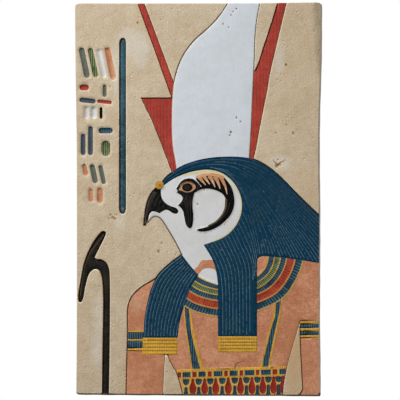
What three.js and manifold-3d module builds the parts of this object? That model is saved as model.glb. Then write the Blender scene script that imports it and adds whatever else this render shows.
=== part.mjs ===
// A painted wall plaque in sunk relief, cast in one piece: a falcon-headed god with a tall crown, a striated
// wig, a broad collar and a jewelled belt, beside an animal-headed staff, a column line and rows of strokes.
// The plaque stands upright: X runs across it, Z up it, and its front faces -Y.
// The origin is the middle of the flat back, where the plaque meets the wall that it hangs on.
import * as THREE from "three";
import { mergeVertices } from "three/addons/utils/BufferGeometryUtils.js";
import Module from "manifold-3d";

const wasm = await Module();
wasm.setup();

// Slab, in millimetres
const panelWidth = 250;
const panelHeight = 400;
const panelThickness = 18;
const cornerRound = 4; // the corners are rounded off over this length
const edgeRound = 1.8; // the edges of the front and the back are rounded by this much
const draft = 1.4; // each side stands in by this much at the front, as the mould asks
const wornCornerWidth = 6; // the rubbed bevel at the top right corner
const wornCornerLength = 72;
const wornCornerDepth = 1.2;

// Hanging slot in the back: a mouth, and behind its lip a higher chamber that a hook goes up into
const slotWidth = 36;
const slotMouthHeight = 12;
const slotDepth = 10;
const slotLip = 4; // thickness of the lip that the hook holds on to
const slotCatch = 5; // how far the chamber goes up behind the lip
const slotBelowTop = 46; // from the plaque's top edge to the middle of the mouth

// Relief: the figure is cut down into the ground, and its forms rise again from that floor
const sinkDepth = 3;
const strokeSink = 1; // the rows of strokes are shallow cuts without forms of their own
const wallRun = 1; // how far the cut walls lean back from the outlines
const redRise = 1.1;
const crownRise = 2;
const bodyRise = 1.3;
const headRise = 1.7;
const beakRise = 2.1;
const wigRise = 2.4;
const lappetRise = 2.6;
const endBandRise = 2.8;
const staffRise = 1.7;
const columnRise = 1.7;
const shoulderWidth = 1.4; // how far in from its outline a form reaches its full height
const crownShoulder = 6;

// Fine carving
const lineRise = 0.4; // the ridges of collar, belt, straps and armlets
const lineWidth = 1.5;
const eyeRise = 0.5;
const strandDepth = 0.6;
const strandWidth = 1.1;
const strandPitch = 4.4;
const strandCrowding = 2.4; // where the strands would lie closer than this, every other one ends
const bandGrooveDepth = 0.5;
const bandGrooveWidth = 0.8;
const bandGrooves = 4;

// The drawing is set out on a grid of 250 squares across the slab and 400 up it, from its lower left corner.
const squaresAcross = 250;
const squaresUp = 400;
const squareWidth = panelWidth / squaresAcross;
const squareHeight = panelHeight / squaresUp;
const curveTolerance = 0.2; // how far a facet of an outline may stand off the true curve
const strandTolerance = 0.4;
const anchor = 2; // how deep a form is rooted below the floor of the cut
const overrun = 2; // how far a cutting form stands out of the face that it cuts

const ground = panelThickness;
const floor = panelThickness - sinkDepth;

const mix = (a, b, share) => a + (b - a) * share;
const place = ([u, v]) =>
  new THREE.Vector2(u * squareWidth - panelWidth / 2, v * squareHeight - panelHeight / 2);

// Leaves out the points of a curve that the straight line past them comes close enough to.
function simplified(points, tolerance = curveTolerance) {
  const first = points[0];
  const chord = points.at(-1).clone().sub(first);
  const offsets = points.map((point) => Math.abs(chord.cross(point.clone().sub(first))) / chord.length());
  const far = offsets.indexOf(Math.max(...offsets));
  if (points.length < 3 || offsets[far] < tolerance) return [first, points.at(-1)];
  const before = simplified(points.slice(0, far + 1), tolerance);
  return [...before.slice(0, -1), ...simplified(points.slice(far), tolerance)];
}

// Two points on the grid make a straight line, and more make a smooth curve.
function stretchOf(points) {
  const placed = points.map(place);
  if (placed.length < 3) return placed;
  return simplified(new THREE.SplineCurve(placed).getPoints((placed.length - 1) * 8));
}

// An outline is a ring of stretches, and each goes on from the end of the one before it.
function outlineOf(stretches) {
  const ring = stretchOf(stretches[0]);
  stretches.slice(1).forEach((points, i) => {
    ring.push(...stretchOf([stretches[i].at(-1), ...points]).slice(1));
  });
  return ring;
}

// Guides with as many points as each other are matched point by point.
const curvePoints = (points) => new THREE.SplineCurve(points.map(place)).getPoints(28);

// Both sides of a line of even width, as one ring of points.
function ribbonOf(line, width) {
  const sides = [1, -1].map((side) =>
    line.map((point, i) => {
      const along = line[Math.min(i + 1, line.length - 1)].clone().sub(line[Math.max(i - 1, 0)]).normalize();
      return new THREE.Vector2(-along.y, along.x).multiplyScalar((side * width) / 2).add(point);
    }),
  );
  return [...sides[0], ...sides[1].reverse()];
}

function ellipse([u, v], radiusU, radiusV, corners) {
  return Array.from({ length: corners }, (_, i) => {
    const angle = (2 * Math.PI * i) / corners;
    return place([u + radiusU * Math.cos(angle), v + radiusV * Math.sin(angle)]);
  });
}

function distanceToRing(point, ring) {
  const distances = ring.map((from, i) => {
    const side = ring[(i + 1) % ring.length].clone().sub(from);
    const share = THREE.MathUtils.clamp(point.clone().sub(from).dot(side) / side.lengthSq(), 0, 1);
    return side.multiplyScalar(share).add(from).distanceTo(point);
  });
  return Math.min(...distances);
}

// An anticlockwise ring moved inwards, or outwards by a distance below zero. Points that would come too near
// another part of the ring are left out.
function insetRing(ring, distance) {
  if (distance === 0) return ring;
  const inward = (from, to) => new THREE.Vector2(from.y - to.y, to.x - from.x).normalize();
  const moved = ring.map((point, i) => {
    const before = inward(ring.at(i - 1), point);
    const middle = inward(point, ring[(i + 1) % ring.length]).add(before).normalize();
    return middle.multiplyScalar(distance / Math.max(0.4, middle.dot(before))).add(point);
  });
  const clear = moved.filter((point) => distanceToRing(point, ring) > Math.abs(distance) * 0.98);
  return clear.filter((point, i) => point.distanceTo(clear.at(i - 1)) > 0.05);
}

function solidOf(geometry) {
  geometry.deleteAttribute("normal");
  geometry.deleteAttribute("uv");
  const merged = mergeVertices(geometry, 1e-4);
  return new wasm.Manifold(
    new wasm.Mesh({
      numProp: 3,
      vertProperties: new Float32Array(merged.attributes.position.array),
      triVerts: new Uint32Array(merged.index.array),
    }),
  );
}

// A prism on a ring of points, from one height above the back to another.
function prism(ring, bottom, top) {
  const straight = { depth: top - bottom, bevelEnabled: false };
  return solidOf(new THREE.ExtrudeGeometry(new THREE.Shape(ring), straight).translate(0, 0, bottom));
}

// A closed solid built up in levels: each is the outline moved in by its inset, at its height above the back.
function layered(outline, levels) {
  const ring = THREE.ShapeUtils.isClockWise(outline) ? [...outline].reverse() : outline;
  const rings = levels.map(([inset, height]) =>
    insetRing(ring, inset).map(({ x, y }) => new THREE.Vector3(x, y, height)),
  );
  const corners = [];
  const fill = (outer, holes, upward) => {
    const all = [outer, ...holes].flat();
    for (const [a, b, c] of THREE.ShapeUtils.triangulateShape(outer, holes)) {
      corners.push(all[a], all[upward ? b : c], all[upward ? c : b]);
    }
  };
  fill(rings[0], [], false);
  rings.slice(1).forEach((upper, i) => {
    const lower = rings[i];
    if (levels[i][0] < levels[i + 1][0]) fill(lower, [upper], true);
    else if (levels[i][0] > levels[i + 1][0]) fill(upper, [lower], false);
    else {
      lower.forEach((corner, j) => {
        const next = (j + 1) % lower.length;
        corners.push(corner, lower[next], upper[next], corner, upper[next], upper[j]);
      });
    }
  });
  fill(rings.at(-1), [], true);
  return solidOf(new THREE.BufferGeometry().setFromPoints(corners));
}

const union = (solids) => wasm.Manifold.union(solids);

// A cut whose walls lean outwards, from the floor up to the ground
const pocket = (ring) => layered(ring, [[0, floor], [-wallRun, ground], [-wallRun, ground + overrun]]);

// A form that stands on the floor and rounds off at its shoulder
function form(ring, rise, { shoulder = shoulderWidth, rounded = false } = {}) {
  const steps = rounded ? [[0, 0.3], [0.3, 0.75], [1, 1]] : [[0, 0.4], [1, 1]];
  const levels = steps.map(([run, up]) => [run * shoulder, floor + up * rise]);
  return layered(ring, [[0, floor - anchor], ...levels]);
}

const crownOutline = [
  [[103, 226], [101.6, 238], [99.2, 251], [97.9, 268], [97.9, 287], [98.5, 305], [100.2, 320], [104.4, 336],
    [111.6, 350.5], [121.6, 363], [133.6, 373.6], [145, 385.4], [155, 400], [158, 406]],
  [[189.4, 406]],
  [[185.2, 386], [183.1, 366], [182.4, 345], [181.3, 322], [180.2, 300], [178.9, 271], [176.8, 235]],
];

const redBandLeftOutline = [[[62.6, 406]], [[69, 406]], [[100, 321]], [[104, 311]], [[100.8, 303.6]],
  [[98.7, 303.6]]];
const redTriangleOutline = [[[66.6, 303.4]], [[103, 303.4]], [[104, 230]], [[98.6, 227]]];
const redBandRightOutline = [
  [[208, 406], [200.4, 381], [195, 364.6], [190, 349.4], [186, 337], [180, 326]],
  [[174, 240]],
  [[180.6, 238]],
  [[184, 252], [187.6, 272], [191.6, 292], [195, 309], [198.4, 329], [203.2, 350], [209, 374.5],
    [216.6, 406]],
];

const wigOutline = [
  [[86.5, 215.5], [92, 222.3], [98.4, 227.6], [106, 232.9], [116, 237.1], [128, 240.5], [142, 242.6],
    [156, 243.2], [169, 242.7], [180, 240.8], [190, 236.6], [201, 229], [213, 218.2], [230, 200.6],
    [248, 183.2], [258, 174]],
  [[258, 133.6]],
  [[246, 134.8], [231, 137.3], [211, 140], [188.5, 141.2]],
  [[185, 138]],
  [[184.8, 60]],
  [[145, 59.6]],
  [[145, 113]],
  [[143.2, 126], [139, 139], [130.4, 153.4]],
  [[138, 155.8], [147.4, 159.2], [157, 165.6], [164.6, 175], [168.9, 186.6], [169, 199], [165, 210.6],
    [157.6, 220.2], [148, 226.8], [136, 229.8], [122, 228.6], [109, 224.8], [98, 219.6], [89.4, 213.6]],
];

const frontLappetOutline = [
  [[108.2, 143.4], [116, 133], [125.2, 122.4]],
  [[117.6, 110], [111.6, 94], [106.4, 76], [104, 58.6]],
  [[69, 58.6]],
  [[70.4, 80], [75.2, 103.6], [82.4, 120.6], [94, 132.8], [106.6, 142.4]],
];

const headOutline = [
  [[87, 215], [99, 224], [118, 232], [138, 235], [155, 230.5], [168, 218], [174.4, 199], [171, 178],
    [158, 161], [150, 146], [149.4, 128], [150, 108]],
  [[122, 116]],
  [[113, 130], [108.2, 143.4], [102, 156], [95, 168], [88.6, 178], [84, 181.8], [79, 181.8], [73.4, 176.4]],
  [[75, 188], [80, 205], [86, 213]],
];

const beakOutline = [
  [[82, 211.4], [77.4, 206.6], [73.6, 198.8], [71, 188], [69.4, 173.6]],
  [[71, 173.4]],
  [[74.8, 183.8], [78.6, 187.5], [85.4, 185.5]],
  [[91.6, 188.6], [98.4, 186.2], [103.6, 185.6]],
  [[103.4, 190]],
  [[94, 194.4], [88.4, 201], [86.8, 210.4]],
];

const bodyOutline = [
  [[92, 126], [78, 117.2], [68.4, 111.6], [59.6, 104.2], [54.4, 95.4], [52.7, 84], [52.8, 62], [52, 30],
    [51.3, -6]],
  [[88.8, -6]],
  [[89.2, 10], [90.2, 32], [91.6, 46]],
  [[97.4, 33.6], [103.8, 21.4], [108, 7], [110.8, -6]],
  [[210.3, -6]],
  [[212, 14], [217, 37.4], [223.8, 61], [228.4, 76]],
  [[228.6, 58], [229.8, 30], [231, 7]],
  [[227.6, 1]],
  [[227.4, -6]],
  [[258, -6]],
  [[258, 146]],
  [[190, 147]],
  [[160, 140], [140, 122], [124, 117], [110, 124]],
];

const staffOutline = [
  [[28, -6], [28.4, 60], [28.2, 100], [26.4, 122], [20.4, 128.8], [13.4, 124], [9.4, 111], [7.4, 99.6],
    [4.7, 94.6], [2.6, 99], [4.4, 114], [9, 136.6], [17, 154.8], [25.6, 166.4]],
  [[29.8, 163.4]],
  [[25, 153], [19.2, 141.4]],
  [[19.8, 138.2]],
  [[27, 137.6], [33, 131], [34.5, 114], [34.7, 60], [34.4, -6]],
];

const columnOutline = [[[46, 185.2]], [[44.3, 190]], [[44.3, 358]], [[46.2, 364.4]], [[48.8, 364.4]],
  [[50.6, 358]], [[50.9, 190]], [[49.6, 185.2]]];

// Rows of short strokes: middle, length and width on the grid, and lean from upright in degrees
const strokes = [
  { at: [8, 340], length: 32, width: 6, lean: 12 },
  { at: [17, 340], length: 31, width: 5.5, lean: 12 },
  { at: [26, 339], length: 30, width: 4.5, lean: 12 },
  { at: [34.8, 339], length: 34, width: 6, lean: 12 },
  { at: [8, 314.6], length: 10, width: 6, lean: 90 },
  { at: [29, 311], length: 13, width: 4, lean: 0 },
  { at: [11.5, 301], length: 17, width: 5, lean: 84 },
  { at: [29, 299.6], length: 15, width: 3.6, lean: 84 },
  { at: [10.6, 288.6], length: 13, width: 4.6, lean: 0 },
  { at: [18, 288.6], length: 13, width: 5.6, lean: 0 },
  { at: [25.4, 288.2], length: 12, width: 3, lean: 0 },
  { at: [7, 256], length: 22, width: 5, lean: 0 },
  { at: [14.6, 260], length: 30, width: 5, lean: 0 },
  { at: [30, 270.2], length: 15, width: 6, lean: 90 },
  { at: [30.4, 252], length: 16, width: 9, lean: 0 },
  { at: [9, 230], length: 12, width: 5, lean: 12 },
  { at: [18, 226], length: 20, width: 5.5, lean: 12 },
  { at: [26.6, 225], length: 20, width: 4.5, lean: 12 },
  { at: [15, 204], length: 14, width: 5, lean: 0 },
  { at: [24.4, 204], length: 16, width: 6, lean: 0 },
];

function strokeRing({ at, length, width, lean }) {
  const tilt = THREE.MathUtils.degToRad(lean);
  const ends = [1, -1].map((way) => {
    const reach = (way * (length - width)) / 2;
    return [at[0] - reach * Math.sin(tilt), at[1] + reach * Math.cos(tilt)];
  });
  return ends.flatMap(([u, v], end) =>
    [0, 1, 2, 3].map((step) => {
      const angle = tilt + (step / 3 + end) * Math.PI;
      return place([u + (width / 2) * Math.cos(angle), v + (width / 2) * Math.sin(angle)]);
    }),
  );
}

function strokeCut(stroke) {
  const run = Math.min(strokeSink, stroke.width / 4);
  return layered(strokeRing(stroke), [[run, ground - strokeSink], [0, ground], [0, ground + overrun]]);
}

// The slab's sides wander a little from straight. Outward offsets in millimetres, at even steps between the
// corners, for the right side going up, the top going left, the left side going down, the bottom going right.
const sideWander = [
  [-0.4, -0.8, -1.1, -1, 0.4, 0.8, 0.3],
  [0.7, 0.3, -0.2, -0.4],
  [0.5, 0.1, -0.3, -0.8],
  [-0.3, 0.2, 0.5, 0.2],
];

function slabRing() {
  const corners = [[1, -1], [1, 1], [-1, 1], [-1, -1]].map(
    ([x, y]) => new THREE.Vector2((x * panelWidth) / 2, (y * panelHeight) / 2),
  );
  const sides = sideWander.map((wander, i) => {
    const along = corners[(i + 1) % 4].clone().sub(corners[i]);
    const free = along.length() - 2 * cornerRound;
    along.normalize();
    const outward = new THREE.Vector2(along.y, -along.x);
    const points = wander.map((offset, j) => {
      const run = cornerRound + (free * j) / (wander.length - 1);
      return corners[i].clone().addScaledVector(along, run).addScaledVector(outward, offset);
    });
    return simplified(new THREE.SplineCurve(points).getPoints(40));
  });
  return sides.flatMap((side, i) => {
    const turn = new THREE.QuadraticBezierCurve(side.at(-1), corners[(i + 1) % 4], sides[(i + 1) % 4][0]);
    return [...side, ...turn.getPoints(4).slice(1, -1)];
  });
}

function slab() {
  const rounding = [[1, 0], [0.4, 0.15], [0.1, 0.5], [0, 1]];
  const level = (share, height) => [share * edgeRound + (draft * height) / panelThickness, height];
  return layered(slabRing(), [
    ...rounding.map(([run, up]) => level(run, up * edgeRound)),
    ...rounding.reverse().map(([run, up]) => level(run, panelThickness - up * edgeRound)),
  ]);
}

function wornCorner() {
  const right = panelWidth / 2;
  const top = panelHeight / 2;
  const foot = top - wornCornerLength;
  const out = overrun + wallRun;
  const ring = [[right - draft - wornCornerWidth, top + out], [right - draft, foot], [right + out, foot],
    [right + out, top + out]].map(([x, y]) => new THREE.Vector2(x, y));
  return layered(ring, [[wornCornerWidth / 2, ground - wornCornerDepth], [0, ground], [0, ground + overrun]]);
}

// The mouth is open to the back, and the chamber behind the lip reaches higher.
function hangingSlot() {
  const radius = slotMouthHeight / 2;
  const low = panelHeight / 2 - slotBelowTop - radius;
  const openingTo = (high) => {
    const shape = new THREE.Shape();
    const across = slotWidth / 2 - radius;
    shape.absarc(across, low + radius, radius, -Math.PI / 2, 0);
    shape.absarc(across, high - radius, radius, 0, Math.PI / 2);
    shape.absarc(-across, high - radius, radius, Math.PI / 2, Math.PI);
    shape.absarc(-across, low + radius, radius, Math.PI, 1.5 * Math.PI);
    const points = shape.getPoints(5);
    return points.filter((point, i) => point.distanceTo(points.at(i - 1)) > 0.01);
  };
  const mouth = prism(openingTo(low + slotMouthHeight), -overrun, slotDepth);
  return mouth.add(prism(openingTo(low + slotMouthHeight + slotCatch), slotLip, slotDepth));
}

// The gold bands that end the two lappets, ridged across
const endBands = [
  { left: 67.8, right: 104, top: 58.8, bottom: 41.4 },
  { left: 145, right: 184.9, top: 60.3, bottom: 43.9 },
];

const endBandRing = ({ left, right, top, bottom }) =>
  [[left, bottom], [right, bottom], [right, top], [left, top]].map(place);

function endBandGrooves({ left, right, top, bottom }) {
  return Array.from({ length: bandGrooves }, (_, i) => {
    const v = mix(bottom, top, (i + 1) / (bandGrooves + 1));
    const line = [[left - overrun, v], [right + overrun, v]].map(place);
    return prism(ribbonOf(line, bandGrooveWidth), floor + endBandRise - bandGrooveDepth, ground + overrun);
  });
}

// Wig strands run between two guides, at an even pitch where the guides lie furthest apart.
const backStrands = [
  [
    [[92, 220.6], [112, 234.4], [136, 240], [164, 240.4], [190, 233], [214, 213], [236, 191], [252, 176]],
    [[96, 220.4], [112, 228.4], [134, 233.6], [160, 227.6], [182, 210], [204, 182], [221, 158], [232, 139]],
  ],
  [
    [[134, 233.6], [160, 227.6], [182, 210], [204, 182], [221, 158], [230, 142]],
    [[150, 229.2], [163, 219.6], [173, 204.6], [181, 184], [188, 162], [190.6, 143.6]],
  ],
  [
    [[168, 206], [174, 190], [179.6, 172], [182.6, 152], [183, 132], [183, 108], [183, 84], [183, 62]],
    [[133, 153.6], [136.6, 147.6], [140.6, 140], [143.8, 131], [146, 121], [146.6, 108], [146.6, 84],
      [146.6, 62]],
  ],
];
const lappetStrands = [
  [
    [[106.6, 141], [94.4, 131.6], [83.6, 119.8], [76.8, 103.4], [71.8, 82], [70.6, 60.6]],
    [[123.6, 121.6], [116.2, 109.6], [110.4, 94.4], [106.6, 80], [103.6, 69], [102.4, 60.6]],
  ],
];

function strandsOf(guides) {
  const [first, last] = guides.map(curvePoints);
  const gaps = first.map((point, i) => point.distanceTo(last[i]));
  const count = Math.round(Math.max(...gaps) / strandPitch);
  const strands = Array.from({ length: count + 1 }, (_, i) => {
    const stride = [4, 1, 2, 1][i % 4];
    const line = first.map((point, j) => point.clone().lerp(last[j], i / count));
    return line.filter((_, j) => (gaps[j] * stride) / count > strandCrowding);
  });
  return strands.filter((line) => line.length > 2).map((line) => simplified(line, strandTolerance));
}

// Every form of the figure: its outline, its rise from the floor, its shoulder and its strands
const forms = [
  { ring: outlineOf(redBandLeftOutline), rise: redRise },
  { ring: outlineOf(redTriangleOutline), rise: redRise },
  { ring: outlineOf(redBandRightOutline), rise: redRise },
  { ring: outlineOf(crownOutline), rise: crownRise, shoulder: crownShoulder, rounded: true },
  { ring: outlineOf(bodyOutline), rise: bodyRise },
  { ring: outlineOf(headOutline), rise: headRise },
  { ring: outlineOf(beakOutline), rise: beakRise },
  { ring: outlineOf(wigOutline), rise: wigRise, strands: backStrands },
  { ring: outlineOf(frontLappetOutline), rise: lappetRise, strands: lappetStrands },
  { ring: outlineOf(staffOutline), rise: staffRise },
  { ring: outlineOf(columnOutline), rise: columnRise },
  ...endBands.map((band) => ({ ring: endBandRing(band), rise: endBandRise, shoulder: shoulderWidth / 2 })),
];

function carved({ ring, rise, strands = [], ...look }) {
  const cuts = strands.flatMap(strandsOf).map((line) =>
    prism(ribbonOf(line, strandWidth), floor + rise - strandDepth, ground + overrun),
  );
  return form(ring, rise, look).subtract(union(cuts));
}

// Raised lines on the body
const raisedLine = (line) => prism(ribbonOf(line, lineWidth), floor - anchor, floor + bodyRise + lineRise);

// The collar's lines lie between an inner and an outer curve, at these shares of the way out.
const collarInner = [[112, 131], [125, 121.6], [134, 116.8], [148, 112.6], [166, 113], [184.5, 122],
  [193, 131.6], [196.6, 146]];
const collarOuter = [[98, 100], [111, 90.6], [126, 83.6], [152, 79.2], [180, 83], [206, 95.6],
  [224, 117], [232.4, 146]];
const collarShares = [0.02, 0.18, 0.36, 0.535, 0.765, 0.98];

function collarLines() {
  const [inner, outer] = [collarInner, collarOuter].map(curvePoints);
  return collarShares.map((share) =>
    raisedLine(simplified(inner.map((point, i) => point.clone().lerp(outer[i], share)))),
  );
}

const strapEdges = [
  [[109.6, 94], [112.4, 74], [115.4, 50], [118.6, 25]],
  [[116.8, 94], [119.4, 74], [124.2, 50], [130.4, 25]],
  [[204.2, 98], [199.6, 75], [193.6, 50], [187.6, 27]],
  [[211, 98], [207, 75], [201.6, 50], [198.6, 27]],
];

const armlets = [
  { left: 53, right: 71, heights: [64.8, 56.4, 46.6] },
  { left: 228.8, right: 258, heights: [74.9, 67, 60] },
];

function bodyLines() {
  const rings = armlets.flatMap(({ left, right, heights }) => heights.map((v) => [[left, v], [right, v]]));
  return [...collarLines(), ...[...strapEdges, ...rings].map((points) => raisedLine(stretchOf(points)))];
}

// Belt: a row of blocks above a row of drops, sunk between raised borders. It climbs to the right.
const beltLeft = 103;
const beltRight = 214;
const beltSlope = 0.034;
const beltBorder = 1.7;
const blockHeight = 6.2;
const blockWidths = [4, 9];
const dropFirst = 119.6;
const dropPitch = 11.55;
const dropCount = 8;

function belt() {
  const height = (u, drop) => 26.2 + beltSlope * (u - beltLeft) - drop;
  const cell = (corners) => prism(corners.map(place), floor + bodyRise, ground + overrun);
  const cells = [];
  let u = beltLeft + beltBorder;
  for (let i = 0; u < beltRight - 3 * beltBorder; i += 1) {
    const end = Math.min(u + blockWidths[i % 2], beltRight - beltBorder);
    const foot = beltBorder + blockHeight;
    cells.push(cell([[u, height(u, foot)], [end, height(end, foot)], [end, height(end, beltBorder)],
      [u, height(u, beltBorder)]]));
    u = end + beltBorder;
  }
  for (let i = 0; i < dropCount; i += 1) {
    const middle = dropFirst + i * dropPitch;
    const top = height(middle, 2 * beltBorder + blockHeight);
    cells.push(cell([[middle - 1.3, top], [middle - 3.2, top * 0.4], [middle - 2, 2], [middle + 2, 2],
      [middle + 3.2, top * 0.4], [middle + 1.3, top]]));
    const beside = middle - dropPitch / 2;
    cells.push(cell([[beside - 3, top], [beside - 1.8, top - 5.6], [beside + 1.8, top - 5.6],
      [beside + 3, top]]));
    cells.push(cell([[beside, top - 7], [beside - 2, -6], [beside + 2, -6]]));
  }
  const sheet = [[111.4, -6], [209.4, -6], ...[beltRight, beltLeft].map((u) => [u, height(u, 0)])];
  return prism(sheet.map(place), floor - anchor, floor + bodyRise + lineRise).subtract(union(cells));
}

// The falcon's dark eye, with the stripe down its cheek and the crescent behind it
const eyeOutline = [
  [[102.4, 210.6], [106.4, 217.4], [112, 220.8], [119, 220.4], [125, 215.6]],
  [[134, 216], [143, 214.6], [151.4, 221.6]],
  [[159.4, 211.4], [162, 198], [158.4, 184.6], [149, 173.8], [137, 168], [124.6, 166.9]],
  [[124, 169.6]],
  [[136.4, 173.4], [148, 180.2], [153.4, 192], [150.4, 202.4], [142, 209], [131, 210.4], [121, 205.6]],
  [[119.4, 196], [120, 182], [117.2, 170.4], [112.6, 175.4], [110, 186], [104.4, 194.2]],
  [[109.2, 200.4], [102.6, 207.4]],
];
const eyeCentre = [113.8, 211.9];
const slitFirst = [125, 222];
const slitLast = [148, 222.4];
const slitCount = 5;

function falconEye() {
  const top = floor + headRise + eyeRise;
  const cut = (ring) => prism(ring, floor + headRise, ground + overrun);
  const slits = Array.from({ length: slitCount }, (_, i) => {
    const share = i / (slitCount - 1);
    const [u, v] = [mix(slitFirst[0], slitLast[0], share), mix(slitFirst[1], slitLast[1], share)];
    return cut([[u - 1, v], [u + 7, v - 12], [u + 2, v + 1]].map(place));
  });
  return prism(outlineOf(eyeOutline), floor - anchor, top)
    .subtract(union([cut(ellipse(eyeCentre, 8.2, 6, 16)), ...slits]))
    .add(prism(ellipse(eyeCentre, 5.4, 3.9, 14), floor - anchor, top));
}

const browJewel = () => form(ellipse([85.4, 214.2], 4.4, 4.4, 14), beakRise + eyeRise);

function plaque() {
  const block = slab();
  const cuts = [...forms.map(({ ring }) => pocket(ring)), ...strokes.map(strokeCut)];
  return block
    .subtract(union(cuts))
    .add(union([...forms.map(carved), ...bodyLines(), belt(), falconEye(), browJewel()]))
    .intersect(block)
    .subtract(union([...endBands.flatMap(endBandGrooves), wornCorner(), hangingSlot()]));
}

// Turns the solid upright, with its front to -Y, and gives it back as a three.js geometry.
function geometryOf(solid) {
  const { vertProperties, triVerts, numProp } = solid.getMesh();
  const places = new Float32Array((vertProperties.length / numProp) * 3);
  for (let i = 0; i < places.length / 3; i += 1) {
    places.set(vertProperties.subarray(i * numProp, i * numProp + 3), i * 3);
  }
  const geometry = new THREE.BufferGeometry();
  geometry.setAttribute("position", new THREE.BufferAttribute(places, 3));
  geometry.setIndex(new THREE.BufferAttribute(new Uint32Array(triVerts), 1));
  return geometry.rotateX(Math.PI / 2).toNonIndexed();
}

const castStone = new THREE.MeshStandardMaterial({ color: 0xbfae94, roughness: 0.85, metalness: 0 });
const geometry = geometryOf(plaque());
geometry.computeVertexNormals();
const mesh = new THREE.Mesh(geometry, castStone);
mesh.name = "relief_plaque";

const group = new THREE.Group();
group.add(mesh);

export default group;
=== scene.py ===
import math

import bpy
import numpy as np
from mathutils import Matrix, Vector, kdtree
from mathutils.geometry import delaunay_2d_cdt


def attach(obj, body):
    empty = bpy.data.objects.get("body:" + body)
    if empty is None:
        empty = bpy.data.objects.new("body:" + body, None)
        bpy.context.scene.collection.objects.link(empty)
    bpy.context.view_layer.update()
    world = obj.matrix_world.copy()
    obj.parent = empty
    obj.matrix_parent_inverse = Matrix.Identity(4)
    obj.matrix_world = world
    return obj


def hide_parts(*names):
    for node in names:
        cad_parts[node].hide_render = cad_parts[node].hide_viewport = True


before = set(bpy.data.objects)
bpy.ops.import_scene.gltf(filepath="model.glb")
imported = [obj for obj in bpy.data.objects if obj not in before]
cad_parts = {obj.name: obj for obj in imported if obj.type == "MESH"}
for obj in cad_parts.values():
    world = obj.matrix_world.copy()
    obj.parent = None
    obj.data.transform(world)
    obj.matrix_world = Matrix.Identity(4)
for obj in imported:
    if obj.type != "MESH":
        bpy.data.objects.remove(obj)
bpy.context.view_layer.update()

# Sizes in millimetres. The drawing is set out on a grid of 250 by 400 from the lower left corner.
plaque = {
    "width": 250.0, "height": 400.0, "thickness": 18.0,
    "cornerRound": 2.2, "edgeRound": 0.7, "backRound": 1.8, "draft": 1.4,
    "sink": 3.0, "wallRun": 0.6, "strokeSink": 1.0, "chipDepth": 0.28,
    "shoulder": 1.4, "bodyShoulder": 2.2, "crownShoulder": 2.6, "staffShoulder": 3.0,
    "rise": {"red": 1.8, "crown": 2.5, "body": 1.9, "head": 1.7, "beak": 2.1, "wig": 2.4,
             "lappet": 2.6, "band": 2.45, "staff": 1.7, "column": 1.7},
    "lineRise": 0.35, "lineHalfWidth": 0.9, "eyeRise": 0.45,
    "strandDepth": 0.5, "strandHalfWidth": 0.62, "strandCrowding": 2.6,
    "grooveDepth": 0.5, "grooveHalfWidth": 0.7, "seamWidth": 0.75, "footWidth": 0.3,
    "outlineStep": 1.25, "formStep": 2.1, "groundStep": 3.0, "seed": 7,
}
slot = {"width": 36.0, "mouth": 12.0, "depth": 10.0, "lip": 4.0, "catch": 5.0, "belowTop": 46.0}

# Colours of the paints and of the bare cast, as red, green and blue out of 255
paints = {
    "bareCast": (198, 182, 156), "sidePlaster": (200, 193, 180), "cutWall": (234, 224, 202),
    "crownWhite": (203, 208, 214), "faceWhite": (206, 207, 207), "warmWhite": (214, 208, 198),
    "brickRed": (172, 64, 50), "wigBlue": (5, 51, 75), "columnBlue": (50, 88, 102),
    "collarBlue": (20, 57, 77), "teal": (34, 66, 72), "collarGold": (190, 156, 76),
    "collarRed": (160, 66, 38), "beltRed": (150, 42, 24), "slate": (66, 80, 92), "green": (52, 86, 62),
    "greyGreen": (96, 102, 92), "olive": (128, 120, 80), "flesh": (180, 118, 84),
    "paleFlesh": (192, 140, 100), "eyeFlesh": (178, 136, 108), "brown": (142, 102, 62),
    "ochre": (154, 126, 84), "scuffed": (58, 56, 54), "umber": (80, 68, 52), "beakSheen": (42, 37, 30),
    "gold": (198, 150, 42), "amber": (190, 138, 74), "beltGold": (208, 164, 84), "cream": (214, 200, 158),
    "cere": (186, 137, 44), "chalk": (206, 184, 162), "rubbedBlack": (78, 66, 44), "black": (8, 7, 7),
    "beakBlack": (7, 7, 7), "staffBlack": (22, 19, 16), "wallShade": (184, 144, 106),
    "throatWallShade": (128, 108, 84), "lowerEdgeShade": (84, 75, 60),
}
rng = np.random.default_rng(plaque["seed"])


def alongCurve(points, count, closed=False):  # a smooth curve, spaced evenly from guide point to guide point
    p = np.array(points, float)
    n = len(p)
    t = np.linspace(0, n if closed else n - 1, count)
    i = np.floor(np.minimum(t, (n if closed else n - 1) - 1e-9)).astype(int)
    f = (t - i)[:, None]
    at = (lambda j: p[j % n]) if closed else (lambda j: p[np.clip(j, 0, n - 1)])
    a, b, c, d = at(i - 1), at(i), at(i + 1), at(i + 2)
    return 0.5 * (2 * b + (c - a) * f + (2 * a - 5 * b + 4 * c - d) * f**2 + (3 * b - a - 3 * c + d) * f**3)


def evenly(line, step, least=1):  # the same line with even steps
    run = np.r_[0, np.cumsum(np.hypot(*np.diff(line, axis=0).T))]
    at = np.linspace(0, run[-1], max(least, round(run[-1] / step)) + 1)
    return np.column_stack([np.interp(at, run, line[:, k]) for k in (0, 1)])


def smoothLine(points, step=plaque["outlineStep"]):  # straight between two points, and curved through more
    p = np.array(points, float)
    return evenly(alongCurve(p, len(p) * 12) if len(p) > 2 else p, step)


def smoothRing(points, step=1.0):
    return evenly(alongCurve(points, len(points) * 12, True), step, 6)[:-1]


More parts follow.
